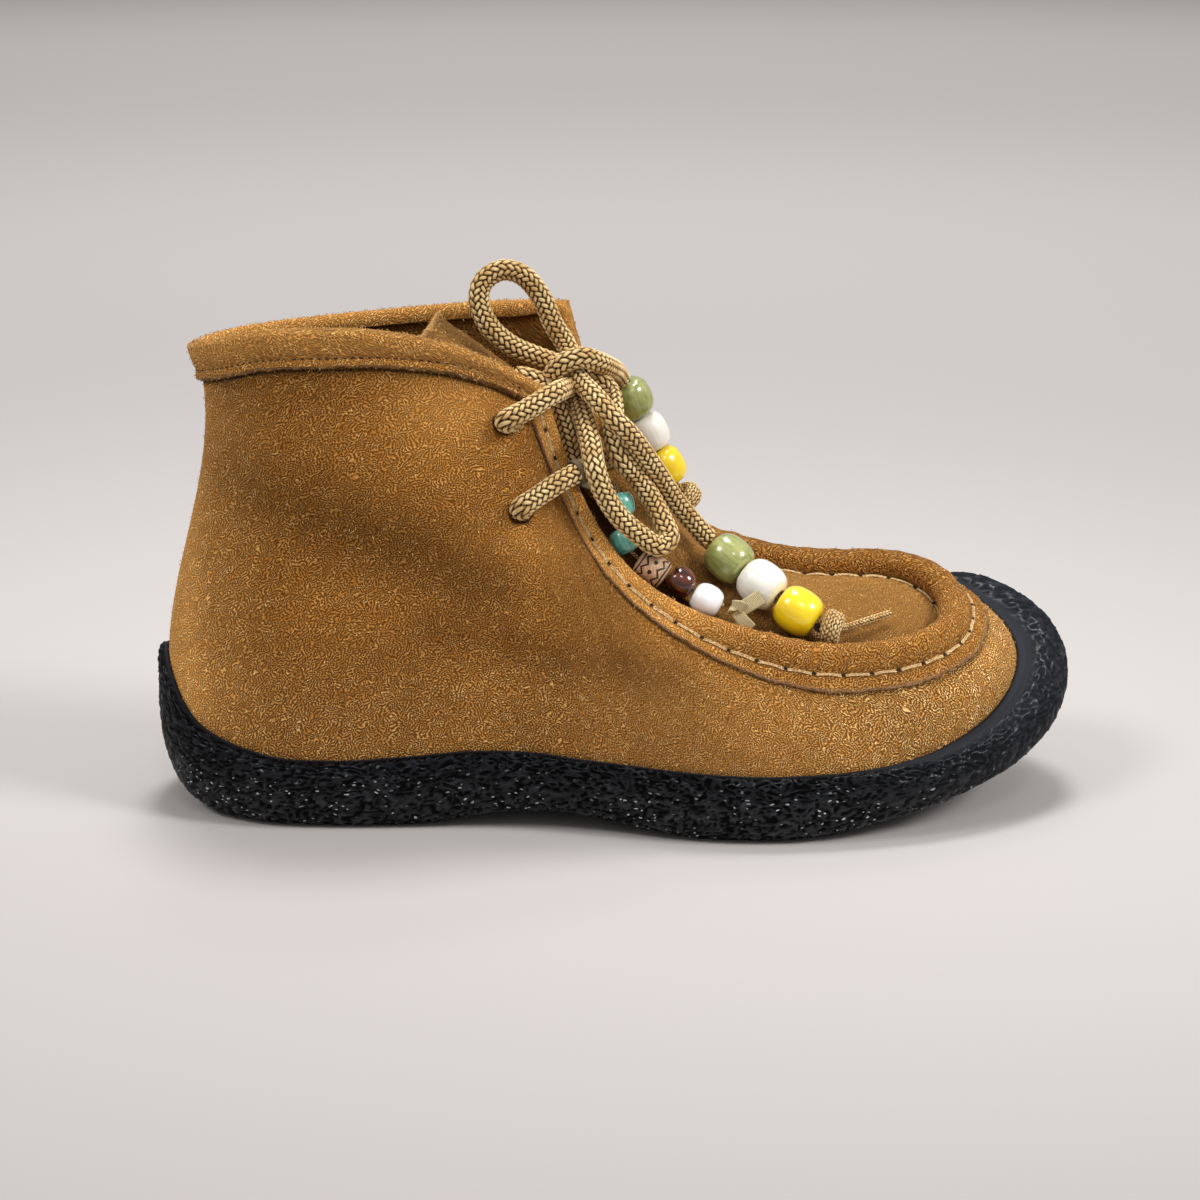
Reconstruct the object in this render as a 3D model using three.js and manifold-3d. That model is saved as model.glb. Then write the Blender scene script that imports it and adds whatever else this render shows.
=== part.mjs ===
// A right moc-toe ankle boot: a suede upper with a rolled toe seam and a bound collar, on a black
// rubber sole that wraps up over the heel and toe, tied with a round cord that carries beads.
// Millimetres, +Z up, +X towards the toe, +Y towards the medial (inner) side of the foot.
// The origin is on the floor under the middle of the boot.
import * as THREE from "three";
import { mergeVertices } from "three/addons/utils/BufferGeometryUtils.js";
import Module from "manifold-3d";

const wasm = await Module();
wasm.setup();

// Driving dimensions
const SUEDE = 2; // wall of the upper
const GAP = 0.3; // left between pieces that touch
const HEEL_FLOOR = 16.5; // height of the sole's inner floor under the heel
const BALL_FLOOR = 12; // and under the ball of the foot
const ARCH_LIFT = 5; // how far the waist of the sole clears the ground
const TOE_SPRING = 0.0026; // rise of the toe, per square millimetre ahead of the ball
const TOE_SPRING_START = 44; // where the sole leaves the ground ahead of the ball
const HEEL_ROUND_START = -112; // where the sole leaves the ground behind the heel
const HEEL_ROUND = 0.01; // rise of the heel, per square millimetre behind that
const LIP = 2.2; // thickness of the rubber's upper edge
const INSOLE = 4;
const EYELET = 6.8; // diameter of the punched lace holes
const LACE = 6.4; // diameter of the lace
const LACE_CORE = 3; // diameter of its bare end, through the beads
const CHARM_CORD = 1.3; // diameter of the string of small beads

// The wall of the upper, a row for each line that climbs it: from the back of the heel, along the
// lateral side, round the toe and back along the medial side.
// foot is where the line leaves the sole's floor, top where it ends at the collar, throat or toe seam.
// bulge and crown push its lower and upper part outwards, and shoulder is the share of its height at
// which it turns over. lip is the height of the rubber's edge, spread how far the rubber stands out from
// the foot line, brow the height of its widest place as a share of lip, and tread where it meets the ground.
const WALL = table(
  ["footX", "footY", "topX", "topY", "topZ", "bulge", "crown", "shoulder", "lip", "spread", "brow", "tread"],
  [
    [-130.5, 0, -123.5, 0, 137.5, 17, -11.5, 0.67, 47, 8, 0.58, -6], // back of the heel
    [-122.5, -19, -115.5, -17, 141, 13, -8, 0.67, 29.5, 7, 0.55, -4.5],
    [-104, -29, -101, -28.5, 145.5, 8, -4, 0.67, 22, 6, 0.5, -3],
    [-84, -32, -84, -33, 147, 6, -2, 0.67, 20.8, 5, 0.5, -2.5],
    [-63, -32, -66, -33.5, 146.3, 5, -1, 0.67, 22, 5, 0.5, -2.5],
    [-43, -32.2, -48, -30, 142.2, 5, 2, 0.67, 24, 5, 0.5, -2.5],
    [-25, -33.5, -34, -24, 135.5, 6, 5, 0.68, 24.3, 5, 0.5, -2.5],
    [-10, -36, -22, -17.5, 127.5, 7, 8, 0.7, 23, 5, 0.5, -3], // lateral corner of the collar
    [5, -39.5, -15.5, -20, 107, 7, 10, 0.75, 22.3, 5, 0.5, -3],
    [18, -42.6, -7.5, -24.5, 90, 7, 11, 0.78, 21.7, 5, 0.5, -3.5],
    [30, -44.8, 4, -29.5, 75.5, 6, 11, 0.8, 21.3, 5, 0.5, -3.5],
    [42, -45.5, 20, -33.5, 64, 6, 10, 0.82, 21, 5, 0.5, -3.5],
    [53, -44.8, 38, -35.8, 56, 5, 9, 0.84, 21, 5.2, 0.5, -3.5], // lateral ball
    [66, -42.5, 57, -35.5, 51.3, 5, 8, 0.85, 21.2, 5.6, 0.5, -5.5],
    [81, -37.5, 75, -32.2, 50.5, 5, 8, 0.85, 22.3, 7, 0.56, -8.5],
    [95, -29.5, 90, -24.5, 51.5, 6, 9, 0.85, 25, 9.5, 0.6, -10],
    [108, -17, 99.5, -13.5, 53, 7, 14, 0.85, 30.5, 13.5, 0.66, -10],
    [116, -3, 103.5, -0.5, 55.3, 8, 18, 0.85, 38, 17.5, 0.72, -10],
    [118.5, 11, 103.5, 10, 58, 9, 20, 0.85, 46, 20, 0.75, -9], // tip of the toe
    [115.5, 24, 99.5, 19, 60.8, 9, 18.5, 0.85, 53.5, 18.5, 0.72, -8],
    [106, 35, 92, 25.5, 62.5, 8, 16, 0.85, 57, 14, 0.7, -6],
    [91, 42, 81, 29.2, 63, 7, 13, 0.85, 51, 9, 0.62, -5],
    [73, 45, 66, 30.3, 62.7, 6, 13, 0.85, 36, 6, 0.52, -3.5],
    [56, 44.5, 50, 30, 64.2, 6, 13, 0.85, 27, 5, 0.5, -3.5], // medial ball
    [41, 42.3, 34, 28.5, 69, 6, 12, 0.83, 24, 5, 0.5, -3.5],
    [27, 38.6, 18, 25.5, 77.5, 6, 11, 0.8, 23.3, 5, 0.5, -3],
    [13, 34.5, 4, 22.5, 92, 6, 10, 0.78, 23.5, 5, 0.5, -3],
    [-2, 31, -6, 20, 112, 6, 8, 0.72, 24.5, 5, 0.5, -3],
    [-17, 29, -15.5, 18.5, 147, 5, 5, 0.67, 25, 5, 0.5, -2.5], // medial corner of the collar
    [-31, 28.5, -28, 25, 145.5, 5, 2, 0.67, 25, 5, 0.5, -2.5],
    [-48, 29, -46, 31.5, 143.5, 5, 0, 0.67, 24, 5, 0.5, -2.5],
    [-66, 30.3, -66, 34.5, 141.3, 5, -1, 0.67, 22.5, 5, 0.5, -2.5],
    [-86, 31, -86, 33.5, 139.5, 6, -2, 0.67, 21.5, 5, 0.5, -2.5],
    [-105, 28, -103, 28.5, 138.3, 8, -4, 0.67, 22.5, 6, 0.5, -3],
    [-122.5, 18.5, -116, 17, 137.8, 13, -8, 0.67, 30, 7, 0.55, -4.5],
  ],
);
const LATERAL_CORNER = 7; // rows where the collar turns down into the throat
const MEDIAL_CORNER = 28;
const TOE_ROW = 17.5; // half way round, opposite the heel
const STEPS_PER_ROW = 2;

function table(columns, rows) {
  return rows.map((row) => Object.fromEntries(columns.map((name, i) => [name, row[i]])));
}

// Curves

const clamp01 = (x) => Math.min(1, Math.max(0, x));
const mix = (a, b, t) => a + (b - a) * t;

function smoothStep(from, to, x) {
  const t = clamp01((x - from) / (to - from));
  return t * t * (3 - 2 * t);
}

function catmullRom(a, b, c, d, t) {
  const slopeB = (c - a) / 2;
  const slopeC = (d - b) / 2;
  const t2 = t * t;
  const t3 = t2 * t;
  return (2 * t3 - 3 * t2 + 1) * b + (t3 - 2 * t2 + t) * slopeB + (3 * t2 - 2 * t3) * c + (t3 - t2) * slopeC;
}

// A column of the wall table at any place round the boot. A sharp column keeps its corner at the two
// ends of the collar.
function wallValue(column, around, sharp = false) {
  const count = WALL.length;
  const row = Math.floor(around);
  const at = (i) => WALL[((i % count) + count) % count][column];
  const isCorner = (i) => sharp && [LATERAL_CORNER, MEDIAL_CORNER].includes(((i % count) + count) % count);
  const b = at(row);
  const c = at(row + 1);
  const a = isCorner(row) ? 2 * b - c : at(row - 1);
  const d = isCorner(row + 1) ? 2 * c - b : at(row + 2);
  return catmullRom(a, b, c, d, around - row);
}

function groundZ(x) {
  const arch = ARCH_LIFT * smoothStep(-66, -24, x) * smoothStep(26, -18, x);
  const toe = TOE_SPRING * Math.max(0, x - TOE_SPRING_START) ** 2;
  const heel = HEEL_ROUND * Math.max(0, HEEL_ROUND_START - x) ** 2;
  return arch + toe + heel;
}

function floorZ(x) {
  const toe = TOE_SPRING * Math.max(0, x - TOE_SPRING_START) ** 2;
  return mix(HEEL_FLOOR, BALL_FLOOR, smoothStep(-70, 25, x)) + toe;
}

// The outer face of the upper

function footPoint(around) {
  const x = wallValue("footX", around);
  return new THREE.Vector3(x, wallValue("footY", around), floorZ(x) + GAP);
}

function topPoint(around) {
  const part = (axis) => wallValue("top" + axis, around, true);
  return new THREE.Vector3(part("X"), part("Y"), part("Z"));
}

// The level direction that points out of the boot.
function outward(around) {
  const step = 0.05;
  const along = footPoint(around + step).sub(footPoint(around - step));
  return new THREE.Vector3(along.y, -along.x, 0).normalize();
}

// The four control points of the line that climbs the wall. Its upper arm leaves the edge squarely.
function wallLine(around) {
  const step = 1.2;
  const foot = footPoint(around);
  const top = topPoint(around);
  const out = outward(around);
  const height = top.z - foot.z;
  const lower = foot.clone().addScaledVector(out, wallValue("bulge", around));
  lower.z += height / 3;
  const arm = out.clone().multiplyScalar(wallValue("crown", around));
  arm.z -= height * (1 - wallValue("shoulder", around));
  const edge = topPoint(around + step).sub(topPoint(around - step)).normalize();
  arm.addScaledVector(edge, -0.85 * arm.dot(edge));
  return [foot, lower, top.clone().add(arm), top];
}

const wallLines = new Map();

function wall(around, height) {
  const key = around.toFixed(4);
  if (!wallLines.has(key)) wallLines.set(key, new THREE.CubicBezierCurve3(...wallLine(around)));
  return wallLines.get(key).getPoint(height);
}

function wallNormal(around, height) {
  const low = Math.max(0, height - 0.02);
  const high = Math.min(1, height + 0.02);
  const up = wall(around, high).sub(wall(around, low));
  const along = wall(around + 0.1, height).sub(wall(around - 0.1, height));
  return along.cross(up).normalize();
}

// A point off the outer face, out of the boot or, with a negative distance, into its wall.
function offWall(around, height, distance) {
  return wall(around, height).addScaledVector(wallNormal(around, height), distance);
}

// How far up the wall a level lies.
function heightAt(around, z) {
  let low = 0;
  let high = 1;
  for (let i = 0; i < 30; i++) {
    const middle = (low + high) / 2;
    if (wall(around, middle).z < z) low = middle;
    else high = middle;
  }
  return (low + high) / 2;
}

// A point near the top edge: along is the distance past the edge, negative down the outer face.
function nearEdge(around, along, out) {
  if (along >= 0) {
    const up = wall(around, 1).sub(wall(around, 0.97)).normalize();
    return offWall(around, 1, out).addScaledVector(up, along);
  }
  const step = 1 / 60;
  let height = 1;
  let left = -along;
  for (;;) {
    const length = wall(around, height).distanceTo(wall(around, height - step));
    if (left <= length) return offWall(around, height - (step * left) / length, out);
    left -= length;
    height -= step;
  }
}

// Solids

// A closed body through loops of points. Joined as a ring, or closed at both ends: each loop is two lists
// of the same length, one after the other, the second one running back along the first.
function skin(loops, isRing) {
  const size = loops[0].length;
  const index = [];
  const spans = isRing ? loops.length : loops.length - 1;
  for (let i = 0; i < spans; i++) {
    const here = i * size;
    const next = ((i + 1) % loops.length) * size;
    for (let j = 0; j < size; j++) {
      const k = (j + 1) % size;
      index.push(here + j, here + k, next + k, here + j, next + k, next + j);
    }
  }
  if (!isRing) {
    index.push(...stripCap(0, size, true), ...stripCap((loops.length - 1) * size, size, false));
  }
  return facingOut(loops.flat(), index);
}

// Triangles across a loop, from its first half to its second half.
function stripCap(start, size, isFirst) {
  const index = [];
  for (let j = 0; j < size / 2 - 1; j++) {
    const [a, b] = [start + j, start + j + 1];
    const [c, d] = [start + size - 2 - j, start + size - 1 - j];
    if (isFirst) index.push(a, d, c, a, c, b);
    else index.push(a, c, d, a, b, c);
  }
  return index;
}

// A closed body from level rings stacked on each other, with its first and last ring filled across.
function stack(rings) {
  const size = rings[0].length;
  const index = [];
  for (let i = 0; i + 1 < rings.length; i++) {
    for (let j = 0; j < size; j++) {
      const k = (j + 1) % size;
      const [here, next] = [i * size, (i + 1) * size];
      index.push(here + j, next + k, here + k, here + j, next + j, next + k);
    }
  }
  index.push(...acrossRing(0, size, true), ...acrossRing((rings.length - 1) * size, size, false));
  return facingOut(rings.flat(), index);
}

// Fills a ring that starts at the heel with strips from its lateral to its medial side.
function acrossRing(start, size, isFirst) {
  const index = [];
  const add = (a, b, c) => index.push(start + a, start + (isFirst ? b : c), start + (isFirst ? c : b));
  add(0, 1, size - 1);
  for (let j = 1; j < size / 2 - 1; j++) {
    add(j, j + 1, size - j - 1);
    add(j, size - j - 1, size - j);
  }
  add(size / 2 - 1, size / 2, size / 2 + 1);
  return index;
}

function facingOut(points, index) {
  let volume = 0;
  for (let i = 0; i < index.length; i += 3) {
    const [a, b, c] = [points[index[i]], points[index[i + 1]], points[index[i + 2]]];
    volume += a.dot(b.clone().cross(c));
  }
  if (volume < 0) index.reverse();
  const geometry = new THREE.BufferGeometry().setFromPoints(points);
  geometry.setIndex(index);
  geometry.computeVertexNormals();
  return geometry;
}

// Joins and cuts

function solid(geometry) {
  const bare = new THREE.BufferGeometry().setAttribute("position", geometry.getAttribute("position"));
  bare.setIndex(geometry.index);
  const merged = mergeVertices(bare, 1e-4);
  const vertProperties = new Float32Array(merged.getAttribute("position").array);
  const triVerts = new Uint32Array(merged.index.array);
  return new wasm.Manifold(new wasm.Mesh({ numProp: 3, vertProperties, triVerts }));
}

function meshOf(body) {
  const { vertProperties, triVerts } = body.getMesh();
  const geometry = new THREE.BufferGeometry();
  geometry.setAttribute("position", new THREE.BufferAttribute(new Float32Array(vertProperties), 3));
  geometry.setIndex(Array.from(triVerts));
  geometry.computeVertexNormals();
  return geometry;
}

function joined(geometries) {
  return meshOf(geometries.map(solid).reduce((left, right) => left.add(right)));
}

const stations = Array.from({ length: WALL.length * STEPS_PER_ROW }, (_, i) => i / STEPS_PER_ROW);

// The heights at which the upper and the rubber share points, up to the lip and then up to the edge.
const SHARES_UNDER_LIP = [0, 0.34, 0.67, 1];
const SHARES_OVER_LIP = [0.22, 0.45, 0.65, 0.8, 0.9, 0.95, 1];

function lipHeight(around) {
  return heightAt(around, wallValue("lip", around));
}

// Upper: one wall of suede, open at the collar and throat, over the toe and underneath

const EYELETS = table(
  ["x", "y", "z"],
  [
    [-31, -26, 121], // lateral, upper and lower
    [-26.5, -30, 96],
    [-19, 25, 122], // medial, upper and lower
    [-14, 28, 97],
  ],
);

function upper() {
  const shell = skin(
    stations.map((around) => {
      const lip = lipHeight(around);
      const heights = [
        ...SHARES_UNDER_LIP.map((share) => lip * share),
        ...SHARES_OVER_LIP.map((share) => mix(lip, 1, share)),
      ];
      const outside = heights.map((height) => wall(around, height));
      const inside = heights.map((height) => offWall(around, height, -SUEDE));
      inside[0].z = outside[0].z;
      return [...outside, ...inside.reverse()];
    }),
    true,
  );
  const holes = EYELETS.map((hole) =>
    solid(new THREE.CylinderGeometry(EYELET / 2, EYELET / 2, 24, 12).translate(hole.x, hole.y, hole.z)),
  );
  return meshOf(holes.reduce((left, hole) => left.subtract(hole), solid(shell)));
}

// Sole: one moulding, a cup that the upper stands in

function soleSection(around) {
  const out = outward(around);
  const foot = footPoint(around);
  const lip = wallValue("lip", around);
  const inside = SHARES_UNDER_LIP.map((share) => offWall(around, lipHeight(around) * share, GAP));
  inside[0].z = floorZ(foot.x);
  const edge = inside[inside.length - 1].clone().addScaledVector(out, LIP);
  const edgeOut = edge.clone().sub(foot).dot(out);
  const spread = wallValue("spread", around);
  const treadOut = wallValue("tread", around);
  const tread = foot.clone().addScaledVector(out, treadOut);
  const bottom = groundZ(tread.x);
  const brow = mix(bottom, lip, wallValue("brow", around));
  const side = (distance, z) => foot.clone().addScaledVector(out, distance).setZ(z);
  const over = new THREE.CubicBezierCurve3(
    side(edgeOut, lip - 0.3),
    side(mix(edgeOut, spread, 0.7), lip + 0.35 * Math.max(0, spread - edgeOut - 2)),
    side(spread, mix(brow, lip, 0.7)),
    side(spread, brow),
  );
  const under = new THREE.CubicBezierCurve3(
    side(spread, brow),
    side(spread, mix(bottom, brow, 0.4)),
    side(mix(treadOut, spread, 0.55), bottom),
    side(treadOut, bottom),
  );
  return [...inside, ...over.getPoints(3), ...under.getPoints(4).slice(1)];
}

function sole() {
  const sections = stations.map(soleSection);
  return stack(sections[0].map((_, i) => sections.map((section) => section[i])));
}

// Insole: a flat bed that covers the floor inside the upper

function insole() {
  const ring = (lift) =>
    stations.map((around) => {
      const z = floorZ(footPoint(around).x) + GAP + lift;
      return offWall(around, heightAt(around, z), -SUEDE - 4 * GAP).setZ(z);
    });
  return stack([ring(0), ring(INSOLE)]);
}

// Moc band: a strip folded over the edge of the throat that swells into the roll round the toe.
// Each row is a point of its section, first where it lies flat and then where it is rolled: along is how
// far past the edge it lies and out how far off the wall. skirt places it below the edge, in skirt widths.

const BAND = table(
  ["skirt", "along", "out", "rollSkirt", "rollAlong", "rollOut"],
  [
    [1, 0, 1.7, 1, 0, 1.7],
    [0.6, 0, 1.6, 0.58, 0, 1.4],
    [0.2, 0, 1.9, 0.22, 0, 3.2],
    [0, 0.9, 1.7, 0, 0.6, 4.8],
    [0, 1.8, 0.2, 0, 3.4, 4.7],
    [0, 1.8, -2.2, 0, 6, 2.7],
    [0, 0.8, -3.7, 0, 6.7, 0],
    [0, -2, -3.9, 0, 5.7, -2.4],
    [0, -4.5, -3.7, 0, 4.4, -3.9],
  ],
);
const BAND_BACK = table(
  ["skirt", "along", "out", "rollSkirt", "rollAlong", "rollOut"],
  [
    [1, 0, GAP, 1, 0, GAP],
    [0.6, 0, GAP, 0.58, 0, GAP],
    [0.2, 0, GAP, 0.22, 0, GAP],
    [0, GAP, GAP, 0, GAP, GAP],
    [0, GAP, -0.5, 0, GAP, -0.5],
    [0, GAP, -SUEDE - GAP, 0, GAP, -1.4],
    [0, -0.6, -SUEDE - GAP, 0, 0.6, -2.4],
    [0, -2, -SUEDE - GAP, 0, 2, -3.4],
    [0, -4.5, -SUEDE - GAP, 0, 3.6, -4.6],
  ],
);
const BAND_SKIRT = 7;
const BAND_SKIRT_AT_TOE = 8.5;
const END_GAP = 0.03; // of a row, left between band and cuff at the corners of the collar

function rolled(around) {
  return smoothStep(9.5, 12.5, around) * smoothStep(26.5, 23.5, around);
}

function mocBand() {
  const places = stations.filter((around) => around > LATERAL_CORNER && around < MEDIAL_CORNER);
  return skin(
    [LATERAL_CORNER + END_GAP, ...places, MEDIAL_CORNER - END_GAP].map((around) => {
      const roll = rolled(around);
      const skirt = mix(BAND_SKIRT, BAND_SKIRT_AT_TOE, roll);
      const face = (rows) =>
        rows.map((row) => {
          const along = mix(row.along, row.rollAlong, roll) - mix(row.skirt, row.rollSkirt, roll) * skirt;
          return nearEdge(around, along, mix(row.out, row.rollOut, roll));
        });
      return [...face(BAND), ...face(BAND_BACK).reverse()];
    }),
    false,
  );
}

// Collar cuff: a strip folded over the edge of the collar, with a raw lower edge

const CUFF = table(
  ["share", "along", "out", "backShare", "backAlong", "backOut"],
  [
    [1, 0, 1.9, 1, 0, GAP],
    [0.7, 0, 2, 0.7, 0, GAP],
    [0.3, 0, 2.3, 0.3, 0, GAP],
    [0, 0.5, 2.1, 0, GAP, GAP],
    [0, 1.8, 0.4, 0, GAP, -0.8],
    [0, 1.8, -2.4, 0, GAP, -SUEDE - GAP],
    [0, 0.5, -4.1, 0, -1, -SUEDE - GAP],
    [0, -4, -4.2, 0, -4, -SUEDE - GAP],
    [0, -8, -3.9, 0, -8, -SUEDE - GAP],
  ],
);
const CUFF_DEPTH = 10.5;
const CUFF_DEPTH_AT_CORNER = 4;

function collarCuff() {
  const [from, to] = [MEDIAL_CORNER, LATERAL_CORNER + WALL.length];
  const twice = [...stations, ...stations.map((around) => around + WALL.length)];
  const places = twice.filter((around) => around > from && around < to);
  return skin(
    [from + END_GAP, ...places, to - END_GAP].map((around) => {
      const depth = mix(CUFF_DEPTH, CUFF_DEPTH_AT_CORNER, smoothStep(to - 4.2, to - 0.4, around));
      const front = CUFF.map((row) => nearEdge(around, row.along - row.share * depth, row.out));
      const back = CUFF.map((row) => nearEdge(around, row.backAlong - row.backShare * depth, row.backOut));
      return [...front, ...back.reverse()];
    }),
    false,
  );
}

// Apron and tongue: one sheet that fills the roll over the toes and runs on up the throat

const APRON_ALONG = 4.9; // from the edge of the wall to the edge of the apron, past the roll
const APRON_OUT = -4.4;
const APRON_ROWS = [0.4, 1, 2, 3, 4, 5, 6]; // counted both ways from the middle of the toe
const APRON_CROWN = 1.2; // rise of its middle, for each of these rows
const TONGUE = table(
  ["lateralX", "lateralY", "lateralZ", "medialX", "medialY", "medialZ", "crown"],
  [
    [26, -22, 61, 26, 19, 71, 7],
    [14, -16, 73, 15, 18, 80, 8],
    [2, -15, 88, 4, 17, 92, 8.5],
    [-10, -15, 101, -8, 17, 104, 8.5],
    [-23, -15, 114, -21, 17, 116, 7.5],
    [-37, -15, 126, -35, 17, 128, 6],
    [-49, -14, 135, -46, 15, 138, 5],
    [-58, -13, 141, -53, 12, 146, 2], // free end, leaning back into the collar
  ],
);

function apronTongue() {
  const apronEdge = (around) => nearEdge(around, APRON_ALONG, APRON_OUT);
  const lateral = APRON_ROWS.map((row) => apronEdge(TOE_ROW - row));
  const medial = APRON_ROWS.map((row) => apronEdge(TOE_ROW + row));
  lateral.push(...TONGUE.map((row) => new THREE.Vector3(row.lateralX, row.lateralY, row.lateralZ)));
  medial.push(...TONGUE.map((row) => new THREE.Vector3(row.medialX, row.medialY, row.medialZ)));
  const crowns = [...APRON_ROWS.map((row) => APRON_CROWN * row), ...TONGUE.map((row) => row.crown)];
  const [lateralCurve, medialCurve] = [lateral, medial].map((points) => new THREE.CatmullRomCurve3(points));
  const spans = crowns.length - 1;
  const count = spans * STEPS_PER_ROW;
  const loops = [];
  for (let i = 0; i <= count; i++) {
    const t = i / count;
    const row = Math.min(spans - 1, Math.floor(t * spans));
    const crown = mix(crowns[row], crowns[row + 1], t * spans - row);
    const [from, to] = [lateralCurve.getPoint(t), medialCurve.getPoint(t)];
    const forward = lateralCurve.getTangent(t).add(medialCurve.getTangent(t));
    const up = forward.cross(to.clone().sub(from)).normalize();
    if (up.z < 0) up.negate();
    const face = [0, 1, 2, 3, 4, 5, 6].map((j) =>
      from.clone().lerp(to, j / 6).addScaledVector(up, (crown * j * (6 - j)) / 9),
    );
    const under = face.map((point) => point.clone().addScaledVector(up, -SUEDE));
    loops.push([...face, ...under.reverse()]);
  }
  return skin(loops, false);
}

// Lace: a round braided cord, tied in a bow. Each route is a row for each place it passes.

const point = ([x, y, z]) => new THREE.Vector3(x, y, z);

function cord(route, diameter, steps) {
  const corners = Array.from({ length: 8 }, (_, i) => {
    const angle = (i * Math.PI) / 4;
    return new THREE.Vector2(Math.cos(angle), Math.sin(angle)).multiplyScalar(diameter / 2);
  });
  const round = new THREE.Shape(corners);
  const extrudePath = new THREE.CatmullRomCurve3(route.map(point));
  return new THREE.ExtrudeGeometry(round, { steps, extrudePath });
}

const KNOT = [-12, -4, 130];
const KNOT_TURN = 5; // radius of each of its two wraps
const KNOT_FACINGS = [[0.9, -0.2, 0.4], [0.1, 0.9, 0.4]];
const ROUTE = {
  // out of the lateral lower eyelet, over the tongue and under the medial flap
  bar: [
    [-28, -34, 97.1],
    [-22.9, -31.7, 100],
    [-15.8, -29.3, 104.3],
    [-9.2, -24, 106.6],
    [-4.5, -14, 106.8],
    [1, -6, 107.2],
    [3.9, 1, 107.3],
    [2, 8, 108],
    [-2.5, 12.5, 109.2],
  ],
  // out of the upper eyelets to the knot
  strand_lateral: [
    [-32.2, -29.8, 121.8],
    [-26.2, -28.3, 124.6],
    [-18.6, -24.2, 128.4],
    [-15.2, -14.8, 128.2],
  ],
  strand_medial: [
    [-18, 30.5, 122.7],
    [-12, 29.5, 124.5],
    [-4.5, 22.5, 127.5],
    [-9.5, 7, 129],
  ],
  loop_back: [
    [-14.8, 1.1, 137.8],
    [-18.4, 1.5, 143.8],
    [-22.1, 1, 152.2],
    [-27.6, 0, 158.8],
    [-33.7, -1, 160.7],
    [-39.2, -2, 156.8],
    [-40.3, -3.5, 151.2],
    [-36.9, -5, 144.4],
    [-30.5, -6, 139],
    [-22.5, -6.5, 135.6],
  ],
  loop_front: [
    [-10.7, -12, 122.5],
    [-9.5, -18, 119.6],
    [-7.8, -24, 115],
    [-6.3, -29.5, 108.1],
    [-3.5, -30, 100.3],
    [0.8, -29.5, 93.6],
    [6.6, -28.5, 88],
    [11.9, -27, 84.4],
    [15.1, -24.5, 86.1],
    [13.1, -22, 90.9],
    [9.7, -19, 96],
    [4.6, -18, 102.6],
    [-0.1, -20, 109.3],
    [-3, -18, 114.8],
    [-4.9, -13, 118.7],
    [-6, -7, 120.5],
  ],
  end_lateral: [
    [-9.4, -12.7, 130.8],
    [-5.8, -19.8, 126.6],
    [-1.3, -23, 121.3],
    [3.7, -22, 116],
    [11.1, -16.5, 104.5],
    [17.1, -11, 94.1],
    [24.7, -7.5, 84.1],
    [27.3, -7.3, 81.2],
  ],
  end_medial: [
    [-3.2, 4, 132.6],
    [-0.4, 11.2, 128.8],
    [1.2, 17.4, 124.7],
  ],
};

// The beads on each end, from the lace outwards, and the stopper knot behind them.
const BEAD_BORE = 2.7; // radius
const BEAD_FULLNESS = 2.4; // 2 is an ellipse, more is boxier
const LATERAL_BEADS = {
  radius: 6.9,
  half: 6.4,
  at: [[33.3, -10.8, 76.2], [42.6, -18.5, 70.5], [53, -24, 63.9]],
};
const MEDIAL_BEADS = { radius: 6.4, half: 5.7, at: [[4.6, 20.4, 118], [9.7, 22, 107.1], [14.8, 21.8, 96.5]] };
const LATERAL_STOPPER = [62, -27, 60.2];
const MEDIAL_STOPPER = [20.9, 22.8, 87.1];
const STOPPER = 3; // radius of the stopper knot's turn

function ring(place, facing, radius, thickness) {
  const turn = new THREE.TorusGeometry(radius, thickness / 2, 6, 10);
  const axis = new THREE.Vector3(0, 0, 1);
  const towards = new THREE.Quaternion().setFromUnitVectors(axis, point(facing).normalize());
  return turn.applyQuaternion(towards).translate(...place);
}

// The thin core that runs through the beads, ends in a knot and may leave a tail.
function tip(start, beads, stopper, tail) {
  const along = point(stopper).sub(point(beads.at[2])).toArray();
  const core = cord([start, ...beads.at, stopper, ...tail], LACE_CORE, tail.length ? 13 : 9);
  return joined([core, ring(stopper, along, STOPPER, 1.4 * LACE_CORE)]);
}

function bead(radius, half, bore, fullness) {
  const steps = 5;
  const profile = [];
  for (let i = 0; i <= steps; i++) {
    const y = mix(-half, half, i / steps);
    const bulge = (1 - Math.abs(y / half) ** fullness) ** (1 / fullness);
    profile.push(new THREE.Vector2(mix(bore + 0.6, radius, bulge), y));
  }
  profile.push(new THREE.Vector2(bore, half), new THREE.Vector2(bore, -half), profile[0].clone());
  return new THREE.LatheGeometry(profile, 9);
}

// Charm: a thin string of small beads that lies in the lateral gap beside the tongue, from the top down

const CHARM_BORE = 2;
const CHARM = table(
  ["name", "x", "y", "z", "radius", "half", "fullness", "color"],
  [
    ["charm_turquoise_upper", 1.2, -17.6, 94.2, 4.1, 3.8, 2.2, 0x4f9c8c],
    ["charm_turquoise_lower", 2, -20.3, 84.1, 4.1, 3.8, 2.2, 0x4f9c8c],
    ["charm_bone", 10.2, -22.5, 76.5, 4.5, 4.7, 6, 0xc9a27e],
    ["charm_brown", 18.8, -23.3, 72.6, 4.4, 4, 2.2, 0x3a1710],
    ["charm_white", 26.2, -25.4, 67.6, 4.8, 4.5, 2.2, 0xe9e6e0],
  ],
);
const CHARM_TOP = [-0.5, -16.6, 100.2];
const CHARM_TIE = [35.2, -26.4, 64.9]; // where a flat tie closes the string
const CHARM_TIE_SIZE = [7, 2.4, 4.6];

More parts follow.
